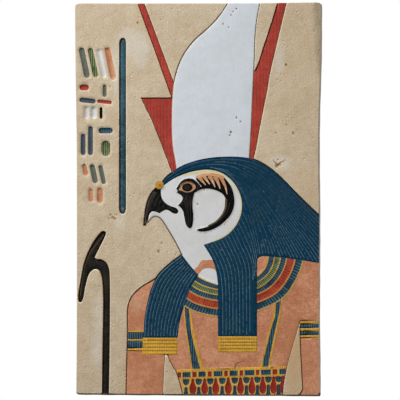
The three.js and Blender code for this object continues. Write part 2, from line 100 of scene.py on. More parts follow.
def outline(stretches, step=plaque["outlineStep"]):  # each stretch goes on from the end of the one before
    parts, last = [], []
    for points in stretches:
        if last or len(points) > 1:
            part = smoothLine(last + points, step)
            parts.append(part[1:] if last else part)
        else:
            parts.append(np.array(points, float))
        last = [points[-1]]
    parts.append(smoothLine([last[0], stretches[0][0]], step)[1:-1])
    return np.concatenate(parts)


def leftOf(along):  # unit directions to the left of these
    length = np.maximum(np.linalg.norm(along, axis=1), 1e-9)
    return np.column_stack([-along[:, 1], along[:, 0]]) / length[:, None]


def ribbon(points, width, step=plaque["outlineStep"], taper=1.0):  # a line of paint or carving
    line = smoothLine(points, step)
    side = leftOf(np.gradient(line, axis=0))
    half = width / 2 * np.linspace(1, taper, len(line))[:, None]
    return np.concatenate([line + side * half, (line - side * half)[::-1]])


def ellipse(centre, radii, count=28):
    a = np.linspace(0, 2 * math.pi, count, endpoint=False)
    return np.column_stack([centre[0] + radii[0] * np.cos(a), centre[1] + radii[1] * np.sin(a)])


def blot(centre, size, count=14, wobble=0.35):  # an uneven chip or stain
    a = np.linspace(0, 2 * math.pi, count, endpoint=False)
    r = size / 2 * (1 + wobble * rng.uniform(-1, 1, count))
    return np.column_stack([centre[0] + r * np.cos(a), centre[1] + r * np.sin(a)])


def inside(points, ring):
    found = np.zeros(len(points), bool)
    low, high = ring.min(0), ring.max(0)
    near = np.flatnonzero(((points > low) & (points < high)).all(1))
    a, b = ring, np.roll(ring, -1, 0)
    slope = (b[:, 0] - a[:, 0]) / np.where(b[:, 1] == a[:, 1], 1e-9, b[:, 1] - a[:, 1])
    for part in np.array_split(near, len(near) // 3000 + 1):
        x, y = points[part, :1], points[part, 1:]
        crossing = ((a[:, 1] > y) != (b[:, 1] > y)) & (x < a[:, 0] + (y - a[:, 1]) * slope)
        found[part] = crossing.sum(1) % 2 == 1
    return found


def distanceTo(points, ring, reach):  # distance to a ring's line, as far as reach
    far = np.full(len(points), float(reach))
    cell, grow = 2.0, int(math.ceil(reach / 2.0)) + 1
    low = ring.min(0) - cell * (grow + 1)
    size = ((ring.max(0) - low) / cell).astype(int) + grow + 2
    marked = np.zeros(size, bool)
    spots = ((ring - low) / cell).astype(int)
    for i in range(-grow, grow + 1):
        for j in range(-grow, grow + 1):
            marked[np.clip(spots[:, 0] + i, 0, size[0] - 1), np.clip(spots[:, 1] + j, 0, size[1] - 1)] = True
    cells = ((points - low) / cell).astype(int)
    ok = ((points > low) & (cells < size)).all(1)
    near = np.flatnonzero(ok)
    near = near[marked[cells[near, 0], cells[near, 1]]]
    a, d = ring, np.roll(ring, -1, 0) - ring
    squared = np.maximum((d**2).sum(1), 1e-12)
    for part in np.array_split(near, len(near) // 2000 + 1):
        q = points[part, None] - a
        t = np.clip((q * d).sum(2) / squared, 0, 1)[..., None]
        far[part] = np.minimum(reach, np.sqrt(((q - t * d) ** 2).sum(2)).min(1))
    return far


def raised(points, ring, width, reach=1):  # 0 outside a ring and on it, rising to 1 at this width inside
    return np.where(inside(points, ring), np.clip(distanceTo(points, ring, reach) / width, 0, 1), 0)


def squaredFrom(points, at):
    return ((points - at) ** 2).sum(1)


def softSpot(points, at, reach):  # 1 in the middle, fading outward
    return np.exp(-(((points - at) / reach) ** 2).sum(1))


# Outlines of the carved forms, as stretches of smooth curve from corner to corner
crownLeft = [(103, 226), (101.6, 238), (99.2, 251), (97.9, 268), (97.9, 287), (98.5, 305), (100.2, 320),
             (104.4, 336), (111.6, 350.5), (121.6, 363), (133.6, 373.6), (145, 385.4), (155, 400),
             (158, 406)]
crownRight = [(185.2, 386), (183.1, 366), (182.4, 345), (181.3, 322), (180.2, 300), (178.9, 271),
              (176.8, 235)]
crownOutline = outline([crownLeft, [(189.4, 406)], crownRight])
redBandLeft = outline([
    [(61.1, 406)], [(67.6, 406)], [(99.2, 321)], [(104, 311)], [(100.8, 303.6)], [(98.2, 303.6)],
])
redTriangle = outline([
    [(66.8, 303.4)], [(103, 303.4)], [(104, 230)], [(99, 227), (92.1, 244.7), (86.2, 260), (77.9, 280.5)],
])
redBandRight = outline([
    [(208, 406), (200.4, 381), (195, 364.6), (190, 349.4), (186, 337), (180, 326)],
    [(174, 240)], [(180.6, 238)],
    [(184, 252), (187.6, 272), (191.6, 292), (195, 309), (198.4, 329), (203.2, 350), (209, 374.5),
     (216.6, 406)],
])
wigOutline = outline([
    [(86.5, 215.5), (92, 222.3), (98.4, 227.6), (106, 232.9), (116, 237.1), (128, 240.5), (142, 242.6),
     (156, 243.2), (169, 242.7), (180, 240.8), (190, 236.6), (201, 229), (213, 218.2), (230, 200.6),
     (248, 183.2), (258, 174)],
    [(258, 133.6)],
    [(246, 134.8), (231, 137.3), (211, 140), (193, 141.6), (188.4, 141), (185.8, 139), (184.9, 135.4)],
    [(184.8, 60)], [(145, 59.6)], [(145, 113)],
    [(143.2, 126), (139, 139), (130.4, 153.4)],
    [(138, 155.8), (147.4, 159.2), (157, 165.6), (164.6, 175), (168.9, 186.6), (169, 199), (165, 210.6),
     (157.6, 220.2), (148, 226.8), (136, 229.8), (122, 228.6), (109, 224.8), (98, 219.6), (89.4, 213.6)],
])
lappetOutline = outline([
    [(108.2, 143.4), (116, 133), (125.2, 122.4)],
    [(117.6, 110), (111.6, 94), (106.4, 76), (104, 58.6)],
    [(69, 58.6)],
    [(70.4, 80), (75.2, 103.6), (82.4, 120.6), (94, 132.8), (106.6, 142.4)],
])
headOutline = outline([
    [(87, 215), (99, 224), (118, 232), (138, 235), (155, 230.5), (168, 218), (174.4, 199), (171, 178),
     (158, 161), (150, 146), (149.4, 128), (150, 108)],
    [(122, 116)],
    [(113, 130), (108.2, 143.4), (102, 156), (95, 168), (88.6, 178), (84, 181.8), (79, 181.8), (73.4, 176.4)],
    [(75, 188), (80, 205), (86, 213)],
])
beakOutline = outline([
    [(82, 211.4), (77.4, 206.6), (73.6, 198.8), (71, 188), (69.4, 173.6)],
    [(71, 173.4)],
    [(74.8, 183.8), (78.6, 187.5), (85.4, 185.5)],
    [(91.4, 188.8), (95.4, 188), (98.4, 185.9), (101, 185), (103.4, 185.2), (104.7, 187), (104, 189.4),
     (101.6, 191.2), (97.4, 192.6), (93.4, 194.6), (89.6, 198), (87.2, 203), (86.8, 210.4)],
], 0.9)
bodyOutline = outline([
    [(92, 126), (78, 117.2), (68.4, 111.6), (59.6, 104.2), (54.4, 95.4), (52.7, 84), (52.8, 62), (52, 30),
     (51.3, -6)],
    [(88.8, -6)],
    [(89.2, 10), (90.2, 32), (91.6, 46)],
    [(97.4, 33.6), (103.8, 21.4), (108, 7), (110.8, -6)],
    [(210.3, -6)],
    [(212, 14), (217, 37.4), (223.8, 61), (228.4, 76)],
    [(228.6, 58), (229.8, 30), (231, 7)],
    [(227.6, 1)], [(227.4, -6)], [(258, -6)], [(258, 146)], [(190, 147)],
    [(160, 147), (142, 131), (125, 127.4), (110, 134)],
])
staffOutline = outline([
    [(27, -6), (27.9, 60), (28.2, 100), (26.4, 122), (20.4, 128.8), (13.4, 124), (9.4, 111), (7.4, 99.6),
     (4.7, 94.6), (2.6, 99), (4.4, 114), (9, 136.6), (17, 154.8), (24, 164.4), (26.8, 167), (29.2, 166.8),
     (30.3, 164.8), (29.3, 161.6), (25, 153), (20.6, 144), (18.8, 140.4)],
    [(20.6, 138.4)],
    [(27, 137.6), (33, 131), (34.5, 114), (34.5, 60), (33.6, -6)],
])
columnOutline = outline([
    [(47.6, 184.8), (45.4, 186.4), (44.4, 190.4)], [(44.3, 358)],
    [(44.6, 361.8), (45.9, 364.2), (47.5, 365), (49.2, 364.2), (50.4, 361.8), (50.6, 358)], [(50.9, 190.4)],
    [(49.9, 186.4), (47.6, 184.8)],
])
endBands = [  # left, bottom, right, top
    outline([[(67.8, 41.4)], [(103.8, 41.4)], [(104.2, 58.8)], [(68.6, 58.8)]]),
    outline([[(145, 43.9)], [(184.9, 43.9)], [(184.9, 60.3)], [(145, 60.3)]]),
]
rise = plaque["rise"]
beneath = 6  # so many forms lie beneath the painted details, and the rest above them
forms = [  # name, outline, paint, rise from the floor, share of it at the outline, width of the shoulder
    ("redBandLeft", redBandLeft, "brickRed", rise["red"], 0.4, plaque["shoulder"]),
    ("redTriangle", redTriangle, "brickRed", rise["red"], 0.85, plaque["shoulder"]),
    ("redBandRight", redBandRight, "brickRed", rise["red"], 0.75, plaque["shoulder"]),
    ("crown", crownOutline, "crownWhite", rise["crown"], 0.85, plaque["crownShoulder"]),
    ("body", bodyOutline, "flesh", rise["body"], 0.85, plaque["bodyShoulder"]),
    ("head", headOutline, "faceWhite", rise["head"], 0.6, plaque["bodyShoulder"]),
    ("beak", beakOutline, "beakBlack", rise["beak"], 0.2, plaque["shoulder"]),
    ("wig", wigOutline, "wigBlue", rise["wig"], 0.2, plaque["shoulder"]),
    ("lappet", lappetOutline, "wigBlue", rise["lappet"], 0.2, plaque["shoulder"]),
    ("staff", staffOutline, "staffBlack", rise["staff"], 0.2, plaque["staffShoulder"]),
    ("column", columnOutline, "columnBlue", rise["column"], 0.2, plaque["staffShoulder"]),
    ("bandLeft", endBands[0], "gold", rise["band"], 0.2, plaque["shoulder"] / 2),
    ("bandRight", endBands[1], "gold", rise["band"], 0.2, plaque["shoulder"] / 2),
]

# The broad collar lies between two curves, and each of its stripes between two shares of the way across.
collar = {
    "inner": [(112, 131), (125, 121.6), (134, 116.8), (148, 112.6), (166, 113), (184.5, 121.4),
              (193.4, 131.6), (196.6, 146)],
    "outer": [(98, 100), (111, 90.6), (126, 83.6), (152, 79.4), (180, 83.8), (206, 95), (216, 103.4),
              (224.6, 117), (230.8, 132), (234, 146)],
    "stripes": [(0, 0.034, "collarGold"), (0.034, 0.172, "collarBlue"), (0.172, 0.206, "collarGold"),
                (0.206, 0.334, "green"), (0.334, 0.368, "collarGold"), (0.368, 0.506, "collarBlue"),
                (0.506, 0.544, "amber"), (0.544, 0.738, "collarRed"), (0.738, 0.778, "amber"),
                (0.778, 0.964, "collarBlue"), (0.964, 1, "collarGold")],
    "ridges": (0.017, 0.19, 0.35, 0.525, 0.758, 0.982),
    "middle": (154, 160), "beadRadius": 62,
}
collarEdges = [alongCurve(collar[side], 64) for side in ("inner", "outer")]


def arcAt(share):  # the curve at this share of the way from the inner edge to the outer
    return collarEdges[0] + (collarEdges[1] - collarEdges[0]) * share


def stripe(low, high):
    return np.concatenate([arcAt(low), arcAt(high)[::-1]])


collarRing = stripe(0, 1)
stripeRings = [(stripe(low, high), paint) for low, high, paint in collar["stripes"]]
collarLines = [arcAt(share) for share in collar["ridges"]]

straps = [
    (outline([
        [(110, 96), (111, 75), (112, 65), (114, 52), (116, 40), (117.5, 30), (118, 25)], [(130.8, 25)],
        [(128.5, 35), (126, 44), (123.5, 53), (120.5, 65), (118.5, 75), (116.6, 96)],
    ]), "gold"),
    (outline([
        [(111, 96), (112.2, 73), (113.3, 65), (115, 55), (116.6, 45), (118, 35), (119.6, 25.6)],
        [(127.5, 25.6)], [(124.9, 35), (122.4, 45), (119.8, 55), (117.8, 65), (116.6, 75), (114.8, 96)],
    ]), "collarBlue"),
    (outline([
        [(202.6, 100), (200.5, 80), (198.5, 72), (196, 63), (193, 52), (191, 42), (189, 34), (187.5, 27.5)],
        [(198, 27.5)], [(198.8, 34), (200, 42), (202, 52), (204, 62), (206.5, 73), (208.5, 82), (211, 100)],
    ]), "gold"),
    (outline([
        [(204.4, 100), (203.2, 82), (201.2, 75), (198.8, 67), (196.4, 57), (193.9, 47), (191.4, 37),
         (189.9, 28.4)],
        [(196, 28.4)],
        [(197.1, 37), (199.1, 47), (201.1, 57), (203.1, 66), (205.4, 76), (207.4, 85), (209.6, 100)],
    ]), "collarBlue"),
]
strapLines = [
    [(110.6, 94), (112, 74), (115, 50), (118.6, 25)], [(117, 94), (119.2, 74), (124, 50), (129.8, 25)],
    [(203, 98), (199.4, 75), (193, 50), (188.2, 27)], [(210, 98), (206.2, 75), (201, 50), (198, 27)],
]


def bars(left, right, stripes):
    return [(np.array([(left, low), (right, low), (right, high), (left, high)], float), paint)
            for low, high, paint in stripes]


armlets = bars(52.4, 72, [(45.4, 66.2, "gold"), (57.4, 64.2, "collarBlue"), (48, 55.2, "collarBlue")])
armlets += bars(228, 256, [(59, 75.6, "gold"), (69, 73, "collarBlue"), (61.4, 65.4, "collarBlue")])
armletLines = [[(52, v), (72, v)] for v in (65.2, 56.3, 46.6)]
armletLines += [[(228, v), (256, v)] for v in (74.4, 67.2, 60.2)]

# The belt climbs a little to the right: blocks between two gold lines, with drops and leaves below.
belt = {
    "left": 103.0, "top": 25.6, "climb": 0.034,
    "redBlocks": [(104.2, 107.6), (119, 123.4), (134.6, 138.6), (151.4, 155), (167, 170.6), (183.6, 187),
                  (200.4, 205.4)],
    "blueBlocks": [(109, 117.2), (125.2, 132.6), (140.6, 149.6), (156.8, 165), (172, 182), (188.6, 198.8),
                   (207.2, 213.6)],
    "drops": [119.6, 131.6, 142.8, 155.6, 168, 179.6, 190.6, 201.6, 211.2],
    "discs": [112.6, 125.6, 137.2, 149.4, 162.2, 174, 185.2, 196.2, 206.6],
}


def beltHeight(u, drop):
    return belt["top"] + belt["climb"] * (u - belt["left"]) - drop


def mirrored(u, half, *tip):  # an outline that is the same to both sides of u
    return [(u - a, v) for a, v in half] + list(tip) + [(u + a, v) for a, v in half[::-1]]


def beltCells():
    cells = []
    for row, paint in (("redBlocks", "beltRed"), ("blueBlocks", "collarBlue")):
        for a, b in belt[row]:
            corners = ((a, 7.3), (b, 7.3), (b, 2), (a, 2))
            cells.append((np.array([(u, beltHeight(u, drop)) for u, drop in corners], float), paint))
    for u in belt["drops"]:
        top, foot = beltHeight(u, 9.4), 1.4 + 0.012 * (u - 110)
        half = [(1.2, top), (1.9, top - 4), (3.5, top * 0.42 + 1), (3.0, foot + 2.2), (1.4, foot)]
        cells.append((smoothRing(mirrored(u, half)), "beltRed"))
    for u in belt["discs"]:
        top = beltHeight(u, 9.5)
        disc = [(3.2, top), (3.1, top - 2.8), (2.4, top - 4.8)]
        leaf = [(4.2, -3), (2.9, 0.6), (1.8, 4.4), (1.6, top - 8.6)]
        cells.append((smoothRing(mirrored(u, disc, (u, top - 6.1))), "teal"))
        cells.append((smoothRing(mirrored(u, leaf, (u, top - 7.7))), "teal"))
    return cells


beltSheet = np.array([(111.6, -6), (209.8, -6), (213.6, beltHeight(213.6, -0.9)),
                      (103, beltHeight(103, -0.9)), (104, 19), (106, 14), (108.6, 6)], float)
beltLines = [ribbon([(102.8, beltHeight(102.8, 0.5)), (214, beltHeight(214, 0.5))], 2.5),
             ribbon([(105.4, beltHeight(105.4, 8.3)), (213, beltHeight(213, 8.3))], 1.8)]
cells = beltCells()

# The falcon's face. The dark parts stand up a little from the white.
eyeDark = [
    outline([
        [(102.4, 210.4), (104, 213.2), (106.4, 216.8), (110, 219.8), (115, 221.1), (120, 220.2), (124, 217),
         (127.4, 213), (126, 209.4), (121, 206)],
        [(119.4, 199), (119.2, 192), (119.9, 185), (119.9, 179), (119, 173), (117.6, 170.6), (115.8, 170.2),
         (113.8, 171.8), (112, 175), (110.8, 181), (109.6, 187), (107.6, 190.6)],
        [(104.2, 193.8)], [(106.4, 195.8), (108.4, 198.6), (108.9, 201.6), (107.4, 204.2)], [(104.8, 205.4)],
        [(102.3, 207.1)], [(104, 208)],
    ], 0.8),
    outline([
        [(122, 206.6), (125.6, 208.9), (130, 210.2), (135, 210.5), (141, 209.4), (147, 207), (151, 203.6),
         (153, 199), (153, 194), (152, 189), (149.5, 184), (146, 179.6), (142, 175.8), (138, 173.4),
         (133, 171.4), (128, 170), (124.6, 169.4)],
        [(123.4, 168.2)],
        [(126, 166.9), (131, 166.8), (137, 168), (143, 170.6), (148.6, 174.2), (155, 180.2), (158.6, 185),
         (161, 191), (161.9, 197), (161.4, 203), (160.1, 208.6), (158, 213.6), (155, 217.8), (151.8, 221.8)],
        [(147.4, 223.4), (141.6, 224.6), (134, 225), (127.4, 224), (122.6, 221)], [(123, 219.4)],
        [(125.4, 216.4), (128.4, 213)], [(126, 211)],
    ], 0.8),
]
featherPatch = outline([
    [(122.2, 221.6), (123.4, 223.4), (127.4, 225), (134, 226), (141.6, 225.6), (147.6, 224.5), (151.8, 222)],
    [(150.4, 220.8), (145.6, 221.6), (139.4, 223), (133.4, 223.6), (128, 222), (123.6, 221.8)],
], 1.0)
fingers = [  # the light gaps between the dark barbs, from top to tip, with the width at the top
    ([(125.6, 222.6), (128.8, 218.6), (132.6, 214.2)], 4.2),
    ([(130.6, 223.4), (133.4, 219.4), (136.7, 215)], 4.2),
    ([(136.2, 223.6), (139.2, 218.8), (142.2, 212)], 4.6),
    ([(142, 223), (144.6, 218), (147.4, 210.2)], 4.8),
    ([(148, 222.4), (150.8, 216.6), (152.8, 212), (154.4, 204.8)], 4.0),
]
almond = outline([
    [(104.6, 209.3), (106.4, 212.2), (108.8, 215.2), (111.6, 217.2), (115, 218), (119, 216.6),
     (121.8, 214.2), (122.2, 211.2), (120, 208.8), (116.4, 207.1), (112, 207), (107.6, 208.5)],
], 0.8)
creamEdge = outline([
    [(103, 222.8), (114, 227), (122, 229), (130, 230.4), (138, 231), (146, 229), (154, 224.6), (162, 217),
     (168, 207), (171, 196), (170.4, 184), (166.4, 175), (158, 164.4), (147, 157), (133, 153)],
    [(146.4, 160.4), (156.2, 166.8), (163.8, 176.8), (167.8, 187.4), (168, 198), (165.2, 207.2),
     (160.4, 215), (154.4, 220.6), (149.6, 224.2), (138, 226.4), (129, 225.6), (116, 224.2)],
])
throatPatch = outline([
    [(118, 126), (124.6, 131.6), (128, 137), (134, 137.8), (140.4, 137), (146, 128)], [(147, 108)],
    [(122, 116)],
])
throatOval = outline([
    [(124.8, 122.4), (127.4, 126), (130.4, 128.8), (136, 129.4), (141.6, 128), (144.6, 124)], [(146, 110)],
    [(141, 111.8), (135, 114), (129, 117.6)],
])

# Rows of short carved strokes: middle, length, width, lean from upright in degrees, paint
strokes = [
    ((8, 340), 32, 6, 12, "greyGreen"), ((17, 340), 31, 5.5, 12, "green"),
    ((26, 339), 30, 4.5, 12, "faceWhite"), ((34.8, 339), 34, 6, 12, "flesh"),
    ((8, 314.6), 10, 6, 90, "brickRed"), ((29, 311), 13, 4, 0, "greyGreen"),
    ((11.5, 301), 17, 5, 84, "slate"), ((29, 299.6), 15, 3.6, 84, "brickRed"),
    ((10.6, 288.6), 13, 4.6, 0, "faceWhite"), ((18, 288.6), 13, 5.6, 0, "faceWhite"),
    ((25.4, 288.2), 12, 3, 0, "black"), ((7, 256), 22, 5, 0, "slate"), ((14.6, 260), 30, 5, 0, "slate"),
    ((30, 270.2), 15, 6, 90, "collarBlue"), ((30.4, 252), 16, 9, 0, "green"),
    ((9, 230), 12, 5, 12, "flesh"), ((18, 226), 20, 5.5, 12, "greyGreen"),
    ((26.6, 225), 20, 4.5, 12, "greyGreen"), ((15, 204), 14, 5, 0, "flesh"),
    ((24.4, 204), 16, 6, 0, "flesh"),
]


def strokeRing(at, length, width, lean):
    tilt = math.radians(lean)
    ring = []
    for end in (0, 1):
        reach = (length - width) / 2 * (1 - 2 * end)
        u, v = at[0] - reach * math.sin(tilt), at[1] + reach * math.cos(tilt)
        for i in range(7):
            a = tilt + (i / 6 + end) * math.pi
            ring.append((u + width / 2 * math.cos(a), v + width / 2 * math.sin(a)))
    ring = np.array(ring)
    return np.concatenate([smoothLine([a, b], 1.4)[:-1] for a, b in zip(ring, np.roll(ring, -1, 0))])


strokeRings = [(strokeRing(at, length, width, lean), paint) for at, length, width, lean, paint in strokes]

# Chips and stains: middle, size and paint
marks = [
    ((205.6, 234.4), 4.2, "brown"), ((204.6, 232.6), 2.4, "ochre"), ((208.6, 235), 2, "ochre"),
    ((206.2, 240), 1.6, "ochre"), ((39.6, 180), 2.8, "ochre"), ((35.2, 184), 2.2, "ochre"),
    ((41.4, 184.4), 1.6, "ochre"), ((33.6, 180.4), 1.6, "ochre"), ((47.7, 190.4), 3.2, "greyGreen"),
    ((214.5, 337), 2.6, "brown"), ((62.5, 381), 2.2, "brown"), ((37.4, 181.6), 3, "ochre"),
    ((8, 236), 1.8, "brown"), ((87.5, 155.5), 1.9, "brown"), ((84.4, 146.8), 3.2, "ochre"),
    ((215, 275.2), 1.6, "ochre"), ((221.9, 266.9), 2.8, "ochre"), ((204.2, 267.5), 1.8, "ochre"),
    ((185, 257), 1.4, "brown"), ((164, 394.5), 1.6, "brown"), ((160.5, 391.5), 1.5, "brown"),
    ((158.5, 388), 1.4, "brown"), ((150.5, 379), 1.6, "brown"), ((156, 375.5), 1.4, "brown"),
    ((158.3, 268.4), 2.8, "olive"), ((157.3, 265), 2, "olive"), ((164, 283), 2, "olive"),
    ((168, 279), 1.8, "olive"), ((124.3, 195), 1.8, "olive"), ((131, 209.2), 1.8, "paleFlesh"),
    ((181, 34.5), 1.4, "brown"), ((215, 59), 1.4, "brown"), ((211, 43.5), 1.3, "brown"),
    ((190, 153), 2.2, "slate"), ((148, 148), 2, "slate"), ((191, 208), 1.9, "slate"),
    ((189, 157), 1.4, "slate"),
]
markRings = [(blot(at, size), paint) for at, size, paint in marks]
markRings += [
    (ribbon([(205, 235), (203, 237.4), (200.6, 240)], 1.3, 0.8, 0.3), "brown"),
    (ribbon([(206.6, 235.4), (209.6, 237.6), (212.2, 238.4), (213.8, 241.2)], 1.4, 0.8, 0.4), "brown"),
    (ribbon([(151.4, 173.4), (153, 176), (155.8, 177)], 1.1, 0.8, 0.5), "paleFlesh"),
    (ribbon([(162, 27), (163.4, 32), (166.6, 34), (171.6, 35.4)], 0.9, 1, 0.6), "umber"),
]

# Everything painted, from the lowest coat to the topmost, and whether it is one of the carved forms
visible = []
scuffs = [[(82.4, 207), (78.4, 199), (75.8, 189)], [(85, 203), (81.4, 196.4), (79.6, 189)],
          [(86.4, 198), (84.6, 193.6), (84.4, 187)], [(90.6, 195.6), (89, 192), (89.8, 188.6)],
          [(96, 192), (98.4, 189.6), (102.4, 188)], [(112.6, 204), (114.4, 190), (115, 176)],
          [(116.4, 203), (117, 188), (116.8, 177)], [(109.6, 203), (112, 192), (113.2, 183)],
          [(157, 196), (154, 186), (146, 177)]]


def lay(paint, *rings, isForm=False):
    visible.extend((ring, paint, isForm) for ring in rings)


for _, ring, paint, *_ in forms[:beneath]:
    lay(paint, ring, isForm=True)
lay("warmWhite", ribbon([(u + 0.65, v) for u, v in crownLeft], 1.2, 2),
    ribbon([(u - 0.35, v) for u, v in crownRight], 0.7, 2))
lay("flesh", throatPatch)
lay("faceWhite", throatOval)
for ring, paint in straps + armlets + stripeRings:
    lay(paint, ring)
lay("beltGold", beltSheet)
lay("gold", *beltLines)
for ring, paint in cells:
    lay(paint, ring)
lay("cream", creamEdge)
lay("beakBlack", eyeDark[0])
lay("black", eyeDark[1])
lay("paleFlesh", featherPatch)
for points, width in fingers:
    lay("paleFlesh", ribbon(points, width, 0.9, 0.2))
    lay("chalk", ribbon(points[-2:], 1.0, 0.9, 0.7))
lay("amber", ribbon([(137, 225.8), (141.6, 225.4), (147.6, 224.2), (151.4, 222.2)], 0.9, 1))
lay("rubbedBlack", ribbon([(153.4, 200), (152.8, 191.4), (150.2, 185), (146.4, 180), (142.2, 176.2),
                           (135, 172.6)], 2.2, 1, 0.5))
lay("eyeFlesh", almond)
lay("cream", ribbon([(105.4, 209.4), (107.6, 210.8), (108.4, 213.4)], 0.8, 0.8, 0.5))
lay("brown", ribbon([(106.4, 213.4), (109.4, 216), (113.6, 217.4), (118, 216.6), (120.6, 214.6)], 1.2, 0.8),
    ellipse((113.8, 211.8), (5.8, 4.6), 26))
lay("black", ellipse((113.8, 211.9), (5.2, 4.1), 22))
lay("staffBlack", ellipse((113.6, 212), (3.4, 2.6), 18))
for _, ring, paint, *_ in forms[beneath:]:
    lay(paint, ring, isForm=True)
# on the beak's left side, a lighter brown-grey wash and a brown line: painted sheen
lay("beakSheen", ribbon([(80, 208), (76, 200.6), (72.8, 191), (71.6, 183), (70.6, 174.6)], 5.2, 1, 0.4))
lay("umber", ribbon([(78.2, 208.2), (74.4, 201), (71.5, 191), (70.5, 183), (70, 174.6)], 2.4, 1, 0.6))
lay("scuffed", *[ribbon(line, 0.4, 1.2, 0.4) for line in scuffs])
lay("umber", ribbon([(28.6, 164), (21.4, 154.6), (14, 145), (9, 132), (6, 117), (4.4, 102)], 0.8, 1, 0.8))
lay("cere", ellipse((85.3, 214.3), (4.4, 4.3), 26))
lay("brown", ellipse((85.6, 214.3), (1.3, 1.2), 10))
for ring, paint in strokeRings + markRings:
    lay(paint, ring)

# Strands of the wig run between two guides. Where they crowd, every other one ends.
overGuide = [(88, 218.2), (112, 234.2), (136, 240), (164, 240.4), (190, 233), (214, 213), (236, 191),
             (254, 174), (268, 160)]
browGuide = [(96, 220.2), (112, 228.6), (134, 233.6), (160, 229.6), (184, 213), (207, 184), (224, 159),
             (238, 137), (246, 122)]
backGuide = [(150, 229), (163, 220), (176, 206), (190, 184), (200, 162), (210, 137)]
neckGuide = [(160, 222), (168, 210), (175.5, 194), (181, 176), (185.4, 158), (188.4, 136)]
sideGuide = [(163.6, 173), (167.4, 163.4), (172.7, 152), (177.6, 141), (180.2, 130), (180.6, 110),
             (180.8, 62)]
throatGuide = [(133, 154.6), (137, 148.4), (141.4, 140.6), (145, 132), (148, 121), (149.6, 100), (149.6, 62)]
lappetGuides = [[(106.6, 141), (94.4, 131.6), (83.6, 119.8), (76.8, 103.4), (71.8, 82), (70.6, 60.6)],
                [(123.6, 121.6), (116.2, 109.6), (110.4, 94.4), (106.6, 80), (103.6, 69), (102.4, 60.6)]]
strandSets = [  # outline, first and last strand that is drawn, and the guides of strand 0 and of the last
    (wigOutline, 0, 11, overGuide, browGuide), (wigOutline, 1, 8, browGuide[2:8], backGuide),
    (wigOutline, 1, 6, backGuide, neckGuide), (wigOutline, 1, 5, neckGuide, sideGuide[:5] + [(180.6, 118)]),
    (wigOutline, 1, 9, sideGuide, throatGuide), (lappetOutline, 0, 10, *lappetGuides),
]
lasting = (8, 1, 2, 1, 4, 1, 2, 1)  # how far each of eight strands in turn lasts as they crowd


def strandLines():
    lines = []
    for ring, start, count, first, last in strandSets:
        a, b = alongCurve(first, 96), alongCurve(last, 96)
        gaps = np.hypot(*(a - b).T)
        for i in range(start, count + 1):
            line = a + (b - a) * i / count
            line = line[gaps * lasting[i % 8] / count > plaque["strandCrowding"]]
            if len(line) < 5:
                continue
            line = line[inside(line, ring) & (distanceTo(line, ring, 2) > 1.1)]
            jumps = np.flatnonzero(np.hypot(*np.diff(line, axis=0).T) > 6)
            lines += [smoothLine(part[::3], 1.5) for part in np.split(line, jumps + 1) if len(part) > 4]
    return lines


strands = strandLines()
print("drawing set out:", len(visible), "painted areas,", len(strands), "strands")


def bezier(a, b, c, count=5):
    t = np.linspace(0, 1, count)[:, None]
    return a * (1 - t) ** 2 + b * 2 * t * (1 - t) + c * t**2


# How far the right, top, left and bottom sides wander outward from straight, from end to end
wander = [(-0.7, -0.9, -1.2, -1.1, -0.9, -0.7, -0.7, -1.1, -0.9, -0.3, 1, 1.4, 1.7), (1.8, 1.5, 2, 2.6),
          (3.3, 2.4, 1.2, 0.8, 0.6, 0.5, 0.8), (0.1, 0.6, 0.8, 1)]


def slabOutline():  # wandering sides and rounded corners
    w, h, r = plaque["width"], plaque["height"], plaque["cornerRound"]
    corners = np.array([(w, 0), (w, h), (0, h), (0, 0)], float)
    sides = []
    for i, offsets in enumerate(wander):
        along = corners[(i + 1) % 4] - corners[i]
        length = np.hypot(*along)
        along /= length
        outward = np.array([along[1], -along[0]])
        spots = np.linspace(r, length - r, len(offsets))
        sides.append(smoothLine([corners[i] + along * s + outward * o for s, o in zip(spots, offsets)], 2.4))
    parts = []
    for i, side in enumerate(sides):
        turn, start = side[-1].copy(), sides[(i + 1) % 4][0]
        turn[(i + 1) % 2] = start[(i + 1) % 2]
        parts += [side, bezier(side[-1], turn, start)[1:-1]]
    return np.concatenate(parts)


middle = np.array([plaque["width"] / 2, plaque["height"] / 2])


def drawnIn(ring, inset):
    return middle + (ring - middle) * (1 - inset / middle)


frontRing = drawnIn(slabOutline(), plaque["draft"])
wornLine = np.array([(242.3, 402), (247.4, 332)])  # the upper right edge is worn away to the right of it


def waves(points, length, seed, count=14):  # an even random unevenness, about from -1 to 1
    random = np.random.default_rng(seed)
    angle, phase = random.uniform(0, 2 * math.pi, (2, count))
    k = 2 * math.pi / (length * random.uniform(0.7, 1.6, count))
    field = np.sin(points[:, :1] * np.cos(angle) * k + points[:, 1:2] * np.sin(angle) * k + phase)
    return field.sum(1) / math.sqrt(count)


def offsetRing(ring, distance):
    area = np.sum(ring[:, 0] * np.roll(ring[:, 1], -1) - np.roll(ring[:, 0], -1) * ring[:, 1])
    way = ring if area > 0 else ring[::-1]
    moved = way + leftOf(np.roll(way, -1, 0) - np.roll(way, 1, 0)) * distance
    return moved[distanceTo(moved, ring, abs(distance) + 1) > abs(distance) * 0.96]


def nearest(points, tree):
    return np.array([tree.find((x, y, 0))[2] for x, y in points])


def treeOf(points):
    tree = kdtree.KDTree(len(points))
    for i, (x, y) in enumerate(points):
        tree.insert((x, y, 0), i)
    tree.balance()
    return tree


strandTree = treeOf(np.concatenate([evenly(line, 0.25) for line in strands]))
bandGrooves = [(67, 105, v) for v in (44.9, 48.4, 52, 55.4)] + [(144, 186, v) for v in (47, 50.4, 53.6, 57)]
ridges = collarLines + [smoothLine(points) for points in strapLines + armletLines]
ridgeTree = treeOf(np.concatenate([evenly(line, 0.25) for line in ridges]))

eyeball = {"middle": (113.8, 211.8), "across": 6, "up": 4.5}
cere = {"middle": (85.4, 214.3), "radius": 4.8, "paintRadius": 4.6, "seamRadius": 6.5, "rise": 0.9}
